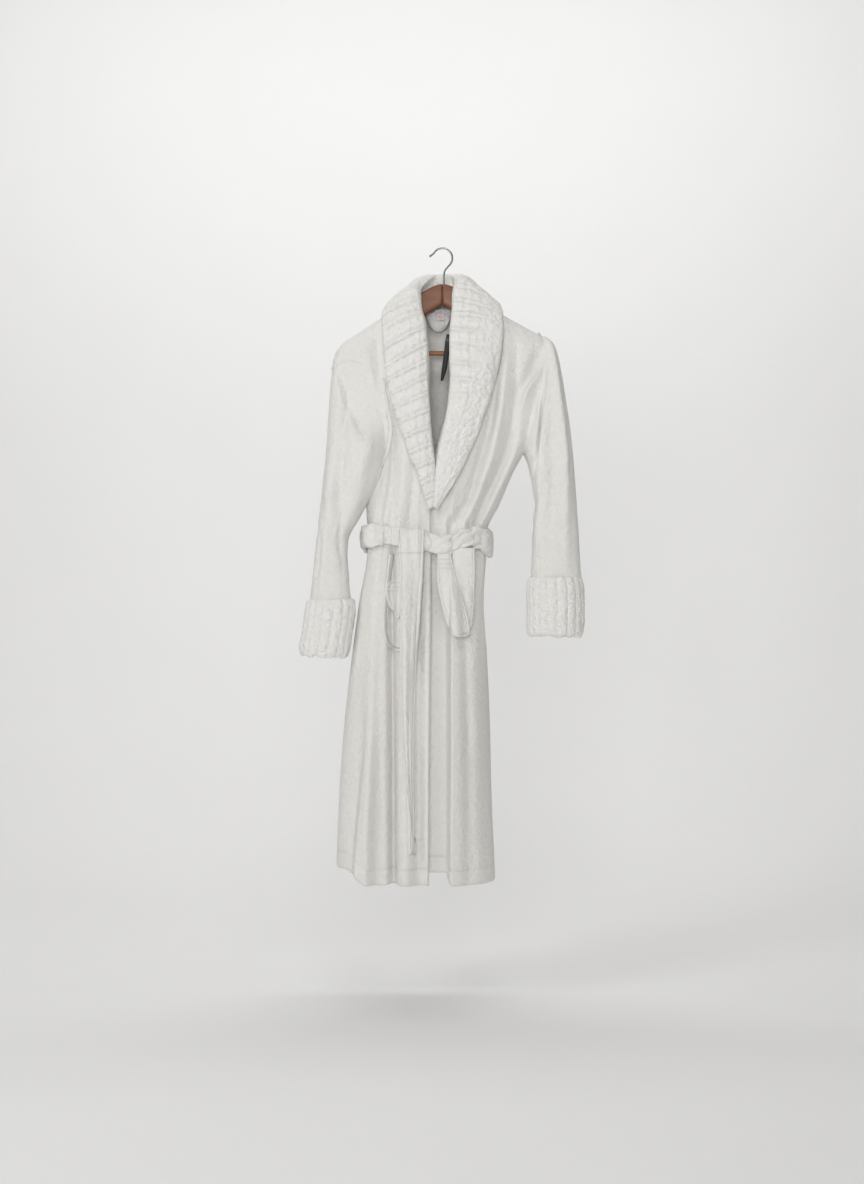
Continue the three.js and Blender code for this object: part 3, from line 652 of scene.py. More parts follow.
def ribs(length, period, round_off=0.55):
    """A row of rounded ribs with a fine raised cord in each groove, from -1 to 1."""
    phase = (length / period) % 1.0
    near = np.minimum(phase, 1 - phase) * period
    return 3.4 * np.sin(np.pi * phase) ** round_off - 2.4 + 4.2 * np.exp(-((near / 2.8) ** 2))


def collar_half(stations, side, columns=62, rows=430):
    """The outer face runs from crest to free edge, and bulges between them. Ribs cross it at a slant. Also
    returns a mask of painted shade for the grooves beside the cords.
    """
    u, v = parameters(columns, rows)
    lines = []
    for edge in (0, 1):
        points = []
        for station in stations:
            x, y, z = station[edge]
            if y is None:
                y = float(front_y(np.array(x), np.array(-z), COLLAR_THICKNESS + 1.5))
            points.append((x, y, z))
        lines.append(points)
    knots = np.linspace(0, 1, len(stations))
    crest, free = (
        np.stack([smooth(knots, np.array(line)[:, k], v) for k in range(3)], -1) for line in lines
    )
    t = u[..., None]
    flat = crest * (1 - t) + free * t
    on_front = np.array([0.0 if s[0][1] is not None else 1.0 for s in stations])
    lies = smooth(knots, on_front, v)
    over = front_y(flat[..., 0], -flat[..., 2], COLLAR_THICKNESS + 1.5)
    flat[..., 1] = lerp(flat[..., 1], np.minimum(flat[..., 1], over), np.clip(lies, 0, 1))
    normal = grid_normals(flat)
    facing = (normal * np.stack([np.zeros(u.shape), -np.ones(u.shape), np.full(u.shape, 0.6)], -1)).sum(2)
    if facing.mean() < 0:
        normal = -normal
    skew = u ** lerp(0.62, 1.0, step(0.2, 0.42, v))
    bulge = smooth(knots, [s[2] for s in stations], v) * (4 * skew * (1 - skew)) ** 0.7
    width = np.linalg.norm(free - crest, axis=2)
    steps = np.linalg.norm(np.diff(crest[:, 0], axis=0), axis=1)
    length = np.concatenate([[0], np.cumsum(steps)])[:, None] + np.zeros(u.shape)
    drop = -flat[..., 2]
    if side < 0:
        slant = 0.27 * step(0.25, 0.5, v) * width * u
        way = length - slant + 9
        strength = 0.55 + 0.45 * step(0, 0.1, v)
    else:
        way = length + 4
        strength = (1 - 0.8 * step(0.3, 0.75, u)) * (1 - 0.75 * step(240, 340, drop))
    rib = ribs(way, BAND)
    strength = strength * step(0, 0.05, u) ** 0.5
    blocks = np.cos(u * width / 17 * 2 * np.pi) * 0.45
    clumps = noise(u.shape, (rows / 3.2, columns / 2.6), 11 + side) * 0.8
    patches = noise(u.shape, (rows / 9, columns / 6), 21 + side) * 0.9
    rough = 1.0 if side < 0 else 1.0 + 0.9 * step(220, 340, drop) * step(0.2, 0.6, u)
    out = bulge + strength * (rib + blocks) * 1.25 + (clumps * 1.5 + patches) * 0.8 * rough
    surface = flat + normal * out[..., None]
    taper = 1 - 0.7 * step(0.84, 1.0, v)
    amount = COLLAR_THICKNESS * taper + bulge * 0.55
    edge_u = np.clip(7.0 / width, 0.05, 0.49)
    profile = 0.08 + 0.92 * np.minimum(rim(u, edge_u), rim(v, 0.004))
    sink = (amount * (1 - profile) / 2)[..., None]
    outer = surface - normal * sink
    inner = flat + normal * (bulge * 0.45)[..., None] - normal * (COLLAR_THICKNESS * taper)[..., None]
    inner = inner + normal * sink
    # Painted shade: a darker band just beside each cord, in the groove between two ribs.
    place = way / BAND % 1.0
    near = np.minimum(place, 1 - place) * BAND
    painted_groove_shade = 0.3 * strength * np.exp(-(((near - 5.5) / 2.2) ** 2))
    return two_sided(outer, inner), painted_groove_shade


def make_collar():
    for name, stations, side in (("right", RIGHT_COLLAR, -1), ("left", LEFT_COLLAR, 1)):
        skin, mask = collar_half(stations, side)
        # The collar's mask is painted shade in the grooves of its ribs.
        half = piece(f"collar_{name}_half", [skin], PLUSH, "robe", [f"{name}_collar"],
                     stitch_and_shade_masks(mask))


# ---- Sleeves and cuffs ----

# Share of the way down, outer edge x and z, inner edge x and z, middle y, half depth.
RIGHT_SLEEVE = [
    (0.00, -219, -238, -116, -264, -8, 50),
    (0.05, -223, -270, -110, -292, -9, 54),
    (0.14, -227, -328, -104, -340, -12, 60),
    (0.25, -230, -384, -106, -392, -16, 62),
    (0.36, -234, -432, -116, -436, -20, 58),
    (0.48, -239, -484, -136, -486, -24, 51),
    (0.60, -244, -534, -162, -534, -27, 44),
    (0.72, -250, -584, -187, -584, -29, 38),
    (0.85, -256, -640, -186, -642, -30, 36),
    (1.00, -263, -706, -182, -706, -30, 36),
]
LEFT_SLEEVE = [
    (0.00, 176, -173, 158, -408, -4, 54),
    (0.06, 203, -176, 163, -414, -6, 54),
    (0.12, 220, -189, 168, -424, -8, 53),
    (0.18, 229, -213, 172, -438, -10, 52),
    (0.25, 237, -254, 175, -456, -13, 50),
    (0.36, 246, -312, 179, -480, -18, 47),
    (0.50, 257, -392, 183, -508, -22, 44),
    (0.64, 264, -480, 180, -546, -25, 42),
    (0.80, 269, -564, 177, -594, -28, 40),
    (1.00, 275, -662, 175, -662, -30, 38),
]
# Folds along a sleeve: height, width in turns, then shares of the way down, place round it, strength.
# A place of 0 is the outer edge, 0.25 the front and 0.5 the inner edge.
RIGHT_SLEEVE_FOLDS = [
    (-14, 0.030, [(0.02, 0.235, 0.6), (0.12, 0.20, 1.0), (0.22, 0.18, 0.7), (0.3, 0.17, 0.0)]),
    (-10, 0.034, [(0.24, 0.20, 0.0), (0.33, 0.195, 1.0), (0.42, 0.20, 0.9), (0.6, 0.26, 0.5),
                  (0.8, 0.36, 0.3)]),
    (8, 0.045, [(0.12, 0.27, 0.3), (0.25, 0.285, 1.0), (0.4, 0.29, 0.8), (0.55, 0.34, 0.2)]),
    (5, 0.05, [(0.3, 0.13, 0.3), (0.5, 0.15, 1.0), (0.8, 0.2, 0.5)]),
    (-3, 0.03, [(0.6, 0.16, 0.3), (0.8, 0.14, 1.0), (1.0, 0.15, 0.4)]),
    (-6, 0.04, [(0.1, 0.75, 0.4), (0.4, 0.72, 1.0), (0.8, 0.74, 0.3)]),
]
LEFT_SLEEVE_FOLDS = [
    (-15, 0.030, [(0.02, 0.12, 0.3), (0.1, 0.2, 1.0), (0.17, 0.29, 1.0), (0.24, 0.37, 0.5), (0.3, 0.4, 0.0)]),
    (8, 0.034, [(0.1, 0.1, 0.3), (0.2, 0.145, 1.0), (0.4, 0.16, 1.0), (0.62, 0.18, 0.6), (0.9, 0.2, 0.2)]),
    (-5, 0.035, [(0.22, 0.24, 0.2), (0.36, 0.25, 1.0), (0.6, 0.27, 0.8), (0.9, 0.3, 0.3)]),
    (5, 0.04, [(0.25, 0.36, 0.3), (0.45, 0.37, 1.0), (0.75, 0.4, 0.4)]),
    (-6, 0.04, [(0.1, 0.75, 0.4), (0.4, 0.72, 1.0), (0.8, 0.74, 0.3)]),
]


def tube(table, columns, rows, squareness=0.8):
    """Rings between an outer and an inner edge: a rounded ellipse whose plane turns with the edges."""
    v = np.linspace(0, 1, rows)
    u = np.arange(columns) / columns
    knots = [row[0] for row in table]
    values = [smooth(knots, [row[k] for row in table], v)[:, None] for k in range(1, 7)]
    outer_x, outer_z, inner_x, inner_z, middle_y, depth = values
    angle = 2 * np.pi * u[None, :]
    across = (1 + squared(np.cos(angle), squareness)) / 2
    x = lerp(inner_x, outer_x, across)
    z = lerp(inner_z, outer_z, across)
    y = middle_y - depth * squared(np.sin(angle), squareness)
    return stack(x, y, z), u[None, :] + np.zeros((rows, columns)), v[:, None] + np.zeros((rows, columns))


def sleeve_relief(folds, u, v):
    """How far a sleeve stands out: a sum of bell-shaped folds along their lines."""
    total = np.zeros(u.shape)
    for height, width, line in folds:
        away = (u - column(line, v, 1) + 0.5) % 1.0 - 0.5
        strength = column(line, v, 2) * step(line[0][0] - 0.06, line[0][0] + 0.02, v)
        strength = strength * (1 - step(line[-1][0], line[-1][0] + 0.1, v))
        total += height * strength * np.exp(-((away / width) ** 2))
    return total


def outward_normals(surface):
    """Normals of a tube, turned away from the middle of each ring."""
    normal = grid_normals(surface, wraps=True)
    centre = surface.mean(axis=1, keepdims=True)
    if ((surface - centre) * normal).sum() < 0:
        normal = -normal
    return normal


def make_sleeve(name, table, folds, side, bow):
    """A tube from the armhole to the cuff, which lies just over the body panels near the armhole."""
    rows, columns = 260, 150
    surface, u, v = tube(table, columns, rows)
    normal = outward_normals(surface)
    soft = noise(u.shape, (rows / 16, columns / 12), 31 + side) * 1.2
    soft = soft + noise(u.shape, (rows / 5, columns / 5), 35) * 0.35
    soft = soft * (1 - step(0.93, 1.0, np.abs(u - 0.5) * 2))
    ease = step(-0.02, 0.2, v)
    surface = surface + normal * (sleeve_relief(folds, u, v) * ease + soft * step(0, 0.06, v))[..., None]
    across = (1 + np.cos(2 * np.pi * u)) / 2
    surface[..., 2] += bow * 4 * across * (1 - across) * (1 - step(0, 0.2, v))
    # Near the armhole the sleeve lies just over the body panels.
    drop = -surface[..., 2]
    x = surface[..., 0]
    near = 1 - step(0.01, 0.3 if side < 0 else 0.16, v)
    spine = surface[..., 1].mean(axis=1, keepdims=True)
    surface[..., 1] = spine + (surface[..., 1] - spine) * (1 - 0.35 * near)
    for half in (-1, 1):
        over = body_y(half, x, drop) + half * (2.2 * step(0, 0.03, v) - 1.2)
        on_half = (surface[..., 1] * half > 0) & (u != 0)
        farther = np.where(half < 0, np.minimum(surface[..., 1], over), np.maximum(surface[..., 1], over))
        middle, half_width, _, _ = contour(drop)
        within = np.minimum(half_width - np.abs(x - middle), drop - column(RIDGE, x))
        inside = np.where(within > 0, farther, surface[..., 1])
        surface[..., 1] = np.where(on_half, lerp(inside, over, near * step(-2, 16, within)), surface[..., 1])
    stitch = 0.25 * np.exp(-(((v - 0.016) / 0.004) ** 2))
    wall = 0.25 + 0.75 * np.sqrt(1 - (1 - np.clip(v / 0.012, 0, 1)) ** 2)
    normal = outward_normals(surface)
    skin = two_sided(surface, surface - normal * (CLOTH * wall)[..., None], wraps=True)
    made = piece(f"{name}_sleeve_cloth", [skin], TERRY, None, [f"{name}_sleeve"],
                 stitch_and_shade_masks(stitch))
    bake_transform(made)
    flat, area = ((0.38, 0.48), 0.155) if side < 0 else ((0.36, 0.48), 0.13)
    hang(made, flat, area, ["robe_back"])


# Share of the way down, outer edge x and z, inner edge x and z, middle y, half depth.
RIGHT_CUFF = [
    (0.00, -268, -700, -176, -698, -30, 43),
    (0.15, -271, -718, -174, -714, -30, 46),
    (0.50, -277, -760, -178, -756, -30, 47),
    (0.85, -283, -800, -186, -804, -30, 46),
    (1.00, -281, -812, -192, -818, -30, 43),
]
LEFT_CUFF = [
    (0.00, 275, -655, 171, -655, -30, 44),
    (0.15, 278, -672, 168, -672, -30, 47),
    (0.50, 280, -712, 168, -712, -30, 48),
    (0.85, 279, -756, 168, -758, -30, 47),
    (1.00, 277, -776, 170, -774, -30, 44),
]


def make_cuff(name, table, side):
    """A thick turned-back cuff with ribs up its length and a ragged lower edge."""
    rows, columns = 150, 420
    surface, u, v = tube(table, columns, rows, 0.85)
    ring = surface[rows // 2]
    girth = np.linalg.norm(ring - np.roll(ring, 1, 0), axis=1)
    length = np.cumsum(girth)
    count = round(length[-1] / FLUTE)
    phase = length / length[-1] * count + 0.3 * np.sin(u[0] * 13)
    flute = 3.4 * np.abs(np.sin(np.pi * phase))[None, :] ** 0.55 - 2.2
    bottom = step(0.86, 1.0, v)
    ragged = noise(u.shape, (3, columns / 7), 41 + side) * 2.2 * bottom
    fluff = noise(u.shape, (rows / 3, columns / 3), 43 + side) * 0.8
    fluff = fluff + noise(u.shape, (rows / 9, columns / 8), 45) * 0.8
    fluff = fluff * (1 - step(0.96, 1.0, np.abs(u - 0.5) * 2))
    normal = outward_normals(surface)
    wall = 12.0
    profile = np.sqrt(1 - (1 - np.clip(np.minimum(v / 0.06, (1 - v) / 0.09), 0, 1)) ** 2)
    sink = wall * (1 - profile) / 2 * 0.95
    outer = surface + normal * (flute * (0.55 + 0.45 * profile) + fluff - sink)[..., None]
    inner = surface - normal * (wall - sink)[..., None]
    for layer in (outer, inner):
        layer[..., 2] -= ragged
    made = piece(f"{name}_cuff_plush", [two_sided(outer, inner, wraps=True)], PLUSH, f"{name}_sleeve",
                 [f"{name}_cuff"], stitch_and_shade_masks(np.zeros(u.shape)))


# ---- Belt ----


def belt_ring():
    """The belt round the body: a flat oval section, twisted like a rope in front on the left."""
    columns, rows = 460, 40
    turn = np.arange(columns) / columns
    section = 2 * np.pi * np.linspace(0, 1, rows)[:, None]
    # The way round is over the front from right to left, then over the back.
    front = turn < 0.5
    angle = np.where(front, turn * 2, 2 - turn * 2) * np.pi
    drop0 = np.full(columns, WAIST_DROP)
    middle, half, _, _ = contour(drop0)
    x = middle - half * np.cos(angle)
    base = np.where(front, front_y(x, drop0), body_y(1, x, drop0))
    line = stack(x, base, -drop0)
    # The belt bridges the small folds that it runs over.
    for _ in range(18):
        line = (np.roll(line, 1, 0) + 2 * line + np.roll(line, -1, 0)) / 4
    tangent = np.roll(line, -1, 0) - np.roll(line, 1, 0)
    out = np.stack([tangent[:, 1], -tangent[:, 0], np.zeros(columns)], -1)
    out /= np.linalg.norm(out, axis=1, keepdims=True)
    if (out[:, 1] * np.where(front, -1, 1)).mean() < 0:
        out = -out
    places = [-152, -135, -117, -80, -28, 0, 29, 50, 68, 88]
    centre = np.interp(x, places, [-576, -575, -573, -578, -588, -596, -586, -578, -579, -593])
    centre = np.where(front, centre, -WAIST_DROP)
    tall = np.interp(x, places, [42, 49, 35, 37, 39, 38, 37, 36, 46, 52])
    tall = np.where(front, tall, BELT_HEIGHT)
    for _ in range(10):
        centre = (np.roll(centre, 1) + 2 * centre + np.roll(centre, -1)) / 4
        tall = (np.roll(tall, 1) + 2 * tall + np.roll(tall, -1)) / 4
    thick = np.interp(x, [-150, -120, -90, -30, 0, 40, 70, 90], [14, 12, 9, 12, 18, 18, 16, 14])
    thick = np.where(front, thick, BELT_THICKNESS)
    rope = front * step(-24, 4, x) * (1 - step(72, 88, x))
    length = np.cumsum(np.linalg.norm(np.roll(line, -1, 0) - line, axis=1))
    cos, sin = squared(np.cos(section), 0.55), squared(np.sin(section), 0.55)
    slant = (x - tall / 2 * sin / 0.75) / 27
    twist = (np.abs(np.sin(np.pi * slant)) ** 0.6 * 7.0 - 4.5) * rope
    pinched = front * step(-156, -146, x) * (1 - step(-126, -116, x))
    crease = np.cos(section * 2 + length / 5.5) * 2.2 * pinched
    gather = noise((rows, columns), (4, columns / 9), 51) * 0.9
    stitch_line = np.exp(-(((np.abs(sin) - 0.62) / 0.05) ** 2)) * (cos > 0) * (1 - rope)
    bump = twist + crease + gather * (1 - rope) - 0.4 * stitch_line
    reach = thick * (1 + cos) / 2 + 0.6 + np.clip(bump, -4, 4) * (cos > 0)
    spread = 1 + 0.08 * np.sin(2 * np.pi * length / 27) * rope
    z = centre + tall / 2 * sin * spread
    points = line[None, :, :] + out[None, :, :] * reach[..., None]
    points[..., 2] = z
    points = points[:-1]
    count = len(points)
    ids = np.arange(count * columns).reshape(count, columns)
    down, right = np.roll(ids, -1, 0), np.roll(ids, -1, 1)
    faces = np.stack([ids, right, np.roll(down, -1, 1), down], -1).reshape(-1, 4)
    return (points.reshape(-1, 3), faces), 0.2 * stitch_line[:-1].ravel()


def ribbon(right, left, top, bottom, lift, amount, columns=34, rows=220, folds=None, seed=60, edge=3.2):
    """A flat band lying in front of the robe between two edges, with rolled borders."""
    u, v = parameters(columns, rows)
    drop = lerp(top, bottom, v)
    x = lerp(column(right, drop), column(left, drop), u)
    y = lift(x, drop, u) - (folds(u, drop) if folds else 0.0)
    y = y - noise(u.shape, (rows / 12, columns / 9), seed) * 0.8
    surface = stack(x, y, -drop)
    width = column(left, drop) - column(right, drop)
    inset = np.minimum(u, 1 - u) * width
    stitch = np.exp(-(((inset - 5.0) / 0.9) ** 2))
    normal = grid_normals(surface)
    if normal[..., 1].mean() > 0:
        normal = -normal
    surface = surface - normal * (stitch * 0.7)[..., None]
    share = np.clip(edge / np.maximum(width, 1), 0.03, 0.49)
    profile = 0.1 + 0.9 * np.minimum(rim(u, share), rim(v, edge / (bottom - top)))
    sink = (amount * (1 - profile) / 2)[..., None]
    skin = two_sided(surface - normal * sink, surface - normal * (amount - sink))
    return skin, 0.4 * np.clip(stitch, 0, 1)


TAIL_RIGHT = [(562, -89), (600, -87), (640, -85), (700, -84), (800, -85), (882, -85), (982, -80), (1050, -75),
              (1102, -68), (1160, -63), (1194, -61)]
TAIL_LEFT = [(562, -35), (600, -37), (640, -40), (700, -44), (800, -48), (882, -51), (982, -54), (1050, -54),
             (1102, -53), (1160, -54), (1194, -58)]


def make_belt():
    """The belt round the waist, its knot, its long tail and short end, and the half bow."""
    (points, faces), mask = belt_ring()
    band = piece("belt_round_waist", [(points, faces)], TERRY, "robe", ["belt_band"],
                 {"stitch_and_groove_shade": mask})

    def plumb(x, drop, u):
        start = front_y(np.array(-61.0), np.array(562.0), 22)
        near = front_y(x, drop, 0)
        pocket_room = lerp(22, 8, step(760, 900, drop))
        curl = 3.5 * (2 * u - 1) ** 2
        return np.minimum(start - 1.0 + curl, near - pocket_room)

    def creases(u, drop):
        fine = 3.2 * np.exp(-(((u - 0.60 + 0.00025 * (drop - 800)) / 0.07) ** 2)) * step(620, 700, drop)
        dent = 2.4 * np.exp(-(((u - 0.36) / 0.10) ** 2)) * step(700, 820, drop)
        waves = 1.6 * np.sin(drop / 34 + 4 * u) * step(640, 760, drop)
        return dent * 0.7 - fine * 0.4 + waves

    skin, stitch = ribbon(TAIL_RIGHT, TAIL_LEFT, TAIL_TOP, TAIL_BOTTOM, plumb, 7.5, 44, 420, creases)
    drop = lerp(TAIL_TOP, TAIL_BOTTOM, parameters(44, 420)[1])
    box = 0.5 * np.exp(-(((drop - 610) / 1.2) ** 2))
    tail = piece("belt_tail_cloth", [skin], TERRY, "belt_tail", ["belt_tail_long"],
                 stitch_and_shade_masks(np.clip(stitch + box, 0, 1)))

    knot_right = [(566, -44), (586, -48), (608, -44)]
    knot_left = [(566, -28), (586, -14), (608, -20)]

    def lump(x, drop, u):
        flat = front_y(x * 0 - 30, drop * 0 + WAIST_DROP, 17)
        return flat + 7 * (2 * u - 1) ** 2 + ((drop - 586) / 8.5) ** 2

    skin, stitch = ribbon(knot_right, knot_left, 566, 608, lump, 11, 26, 40, None, 63, 7)
    knot = piece("belt_knot_cloth", [skin], TERRY, "robe", ["belt_knot"], stitch_and_shade_masks(stitch * 0))

    def behind_tail(x, drop, u):
        return front_y(x, drop, 14.5)

    short_right = [(606, -84), (650, -87), (666, -104), (702, -107), (738, -92)]
    short_left = [(606, -74), (650, -75), (666, -76), (702, -80), (738, -86)]
    skin, stitch = ribbon(short_right, short_left, SHORT_TOP, SHORT_BOTTOM, behind_tail, 5, 20, 90,
                          None, 66, 3)
    drop = lerp(SHORT_TOP, SHORT_BOTTOM, parameters(20, 90)[1])
    rows = 0.5 * sum(np.exp(-(((drop - place) / 1.2) ** 2)) for place in (668, 676, 684))
    short = piece("belt_short_end", [skin], TERRY, "robe", ["belt_end_short"],
                  stitch_and_shade_masks(np.clip(stitch + rows, 0, 1)))
    loop = make_bow()
    hang(tail, (0.05, 0.67), 0.033, [band])
    hang(short, (0.04, 0.135), 0.0046, [band])
    hang(loop, (0.05, 0.36), 0.016, [band])


def make_bow():
    """Half a bow: the belt runs down in front, folds at the bottom and returns behind."""
    rows, columns = 260, 30
    u, w = parameters(columns, rows)
    path = [0, 0.12, 0.25, 0.38, 0.46, 0.5, 0.54, 0.62, 0.75, 0.88, 1.0]
    right = smooth(path, [-11, -12, -5, 7, 13, 15, 18, 22, 22, 20, 18], w)
    left = smooth(path, [16, 25, 40, 51, 54, 55, 55, 57, 61, 63, 62], w)
    drop = smooth(path, [602, 650, 696, 744, 766, 773, 764, 740, 690, 640, 600], w)
    drop = drop - 9 * (2 * u - 1) ** 4 * np.exp(-(((w - 0.5) / 0.07) ** 2))
    out = smooth(path, [14, 23, 28, 31, 31, 27, 20, 15, 13, 10, 8], w)
    x = lerp(right, left, u)
    hang = front_y(np.array(25.0), np.array(600.0), 0)
    y = np.minimum(hang, front_y(x, drop, 0) + 2) - out + 3.0 * (2 * u - 1) ** 2
    y = y - 1.8 * np.cos(3 * np.pi * u + w * 5) * step(0.02, 0.2, w) * (1 - step(0.4, 0.5, w))
    surface = stack(x, y, -drop)
    normal = grid_normals(surface)
    if normal[: rows // 3, :, 1].mean() > 0:
        normal = -normal
    width = left - right
    profile = 0.12 + 0.88 * rim(u, np.clip(3 / width, 0.03, 0.4))
    amount = 6.0
    sink = (amount * (1 - profile) / 2)[..., None]
    inset = np.minimum(u, 1 - u) * width
    stitch = np.exp(-(((inset - 5) / 0.9) ** 2))
    rows_of = sum(np.exp(-(((drop - d) / 1.3) ** 2)) for d in (622, 631, 640)) * (w < 0.2)
    skin = two_sided(surface - normal * sink, surface - normal * (amount - sink))
    mask = 0.45 * np.clip(stitch + rows_of, 0, 1)
    return piece("belt_bow_cloth", [skin], TERRY, "belt_bow", ["belt_bow_loop"], stitch_and_shade_masks(mask))


# ---- Belt loops, pocket, neck, labels ----


def strap(x_top, x_bottom, top, bottom, width=8.0):
    """A narrow strap sewn to the robe above and below the belt, and arched over it."""
    u, v = parameters(14, 60)
    drop = lerp(top, bottom, v)
    x = lerp(x_top, x_bottom, v) + (u - 0.5) * width
    over = 4.0 + 13.0 * np.clip(np.sin(np.pi * v), 0, 1) ** 0.5
    y = front_y(x * 0 + lerp(x_top, x_bottom, v), drop, 0) - over
    surface = stack(x, y, -drop)
    return rolled(surface, 3.4, 0.3, 0.03, outward=(0, -1, 0)), np.zeros(u.shape)


POCKET_RIGHT = [(612, -104), (650, -109), (700, -116), (744, -118), (770, -116), (790, -108), (802, -96)]
POCKET_LEFT = [(612, -50), (802, -54)]


def make_straps():
    """The loops that the belt runs through."""
    for name, spots in (("right", (-121, -121, 550, 596)), ("left", (70, 56, 552, 598))):
        skin, mask = strap(*spots)
        made = piece(f"{name}_loop_strap", [skin], TERRY, "robe", [f"{name}_belt_loop"],
                     stitch_and_shade_masks(mask))
        hang(made, (0.01, 0.056), 0.0005, ["robe_back"])


def make_pocket():
    """A patch pocket with a raised border and a row of stitches."""
    u, v = parameters(90, 200)
    drop = lerp(POCKET_TOP, POCKET_BOTTOM, v)
    right, left = column(POCKET_RIGHT, drop), column(POCKET_LEFT, drop)
    x = lerp(right, left, u)
    inset = x - right
    under = POCKET_BOTTOM - drop
    edge = np.exp(-((np.minimum(inset, under) - 3) / 3.0) ** 2)
    y = front_y(x, drop, 5.0) - 3.6 * edge + 1.6 * step(4, 16, inset) * step(4, 16, under)
    stitch = np.exp(-((np.minimum(inset, under) - 8) / 0.9) ** 2)
    surface = stack(x, y, -drop)
    skin = rolled(surface, 4.0, 0.03, 0.015, outward=(0, -1, 0))
    pocket = piece("right_pocket_patch", [skin], TERRY, "robe", ["right_pocket"],
                   stitch_and_shade_masks(stitch))
    hang(pocket, (0.08, 0.2), 0.015, ["robe_right_front"])


def make_facing():
    """A padded half moon at the back of the neck."""
    u, v = parameters(60, 50)
    low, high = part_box("neck_facing")
    centre, reach = (low[0] + high[0]) * 500, (high[0] - low[0]) * 500
    top, tall = high[2] * 1000, (high[2] - low[2]) * 1000
    side = u * 2 - 1
    bottom = np.sqrt(np.clip(1 - side**2, 0, 1))
    x = centre + reach * side * 0.995
    z = top - tall * v * np.maximum(bottom, 0.02)
    fat = 6.5 * np.sqrt(np.clip(1 - side**2, 0, 1)) * (np.clip(4 * v * (1 - v), 0, 1)) ** 0.5
    middle = (low[1] + high[1]) * 500
    outer = stack(x, middle - fat, z)
    inner = stack(x, middle + fat * 0.8, z)
    facing = piece("neck_facing_roll", [two_sided(outer, inner)], PLUSH, "robe", ["neck_facing"],
                   stitch_and_shade_masks(np.zeros(u.shape)))


def make_neck_label():
    """A small label with a stitched border and a flower of five petals."""
    low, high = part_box("neck_label")
    u, v = parameters(40, 30)
    x = lerp(low[0], high[0], u) * 1000
    z = lerp(high[2], low[2], v) * 1000
    y = low[1] * 1000 - 1.2 - 2.0 * np.sin(np.pi * u)
    border = np.minimum(np.minimum(u, 1 - u) * 18, np.minimum(v, 1 - v) * 14)
    flower = np.zeros(u.shape)
    for petal in range(5):
        a = petal * 2 * math.pi / 5
        cx, cz = 0.5 + 0.17 * math.cos(a), 0.5 + 0.2 * math.sin(a)
        flower += np.exp(-((((u - cx) * 18) / 1.5) ** 2 + (((v - cz) * 14) / 1.5) ** 2))
    surface = stack(x, y, z)
    mask = np.clip(flower * 0.8 + np.exp(-(((border - 1.2) / 0.4) ** 2)) * 0.3, 0, 1)
    skin = rolled(surface, 1.0, 0.05, 0.05, outward=(0, -1, 0))
    label = piece("neck_label_cloth", [skin], WHITE_LABEL, "robe", ["neck_label"], stitch_and_shade_masks(mask))
    hang(label, (0.018, 0.014), None, ["robe_back"])


def make_swing_label():
    """A narrow strip, pointed at its end, that leans to the wearer's right as it falls."""
    u, v = parameters(14, 90)
    drop = lerp(176, 268, v)
    middle = smooth([176, 200, 240, 268], [11.5, 9, 4, -1.5], drop)
    half = smooth([176, 190, 220, 250, 268], [4.2, 5.2, 5.4, 5.0, 2.6], drop)
    x = middle + (u * 2 - 1) * half
    y = -37.5 + 3.2 * np.sin(v * 4) * 0.5 + 1.5 * (2 * u - 1) ** 2 + 4 * v
    surface = stack(x, y, -drop)
    mark = np.exp(-(((drop - 187) / 2.0) ** 2)) * (np.abs(u - 0.5) < 0.3) * 0.8
    skin = rolled(surface, 1.2, 0.08, 0.02, outward=(0, -1, 0))
    strip = piece("swing_label_strip", [skin], BLACK_LABEL, "swing_label", ["swing_label"],
                  stitch_and_shade_masks(mark))
    hang(strip, (0.011, 0.092), None, ["trouser_bar"])


# ---- Hanger ----


def fanned(rows, columns):
    """Faces of a tube whose two end rings are each closed by a fan of quads."""
    corner = np.arange(1, columns - 2, 2)[:, None]
    cap = np.concatenate([0 * corner, corner, corner + 1, corner + 2], 1)
    return np.concatenate([quads(rows, columns, wraps=True), cap[:, ::-1], cap + (rows - 1) * columns])


def sweep(line, radius, sides=24):
    """A round wire along a smooth curve through points in the XZ plane, closed with domes."""
    count = 260
    share = np.linspace(0, 1, count)
    spine = along(line, share)
    tangent = np.gradient(spine, axis=0)
    tangent /= np.linalg.norm(tangent, axis=1, keepdims=True)
    across = np.cross(tangent, [0.0, 1.0, 0.0])
    turn = 2 * np.pi * np.arange(sides) / sides
    length = np.linalg.norm(np.diff(spine, axis=0), axis=1).sum()
    end = np.minimum(share, 1 - share) * length
    size = radius * np.sqrt(1 - (1 - np.clip(end / radius, 0.02, 1)) ** 2)
    ring = across[:, None, :] * np.cos(turn)[None, :, None]
    ring = ring + np.array([0, 1.0, 0]) * np.sin(turn)[None, :, None]
    points = spine[:, None, :] + ring * size[:, None, None]
    return points.reshape(-1, 3), fanned(count, sides)


def ball(centre, radius, columns=24, rows=14):
    """A sphere whose poles are closed by small flat caps."""
    u, v = parameters(columns + 1, rows)
    u, v = u[:, :-1], np.clip(v[:, :-1], 0.01, 0.99)
    x = centre[0] + radius * np.sin(np.pi * v) * np.cos(2 * np.pi * u)
    y = centre[1] + radius * np.sin(np.pi * v) * np.sin(2 * np.pi * u)
    z = centre[2] + radius * np.cos(np.pi * v)
    return stack(x, y, z).reshape(-1, 3), fanned(rows, columns)


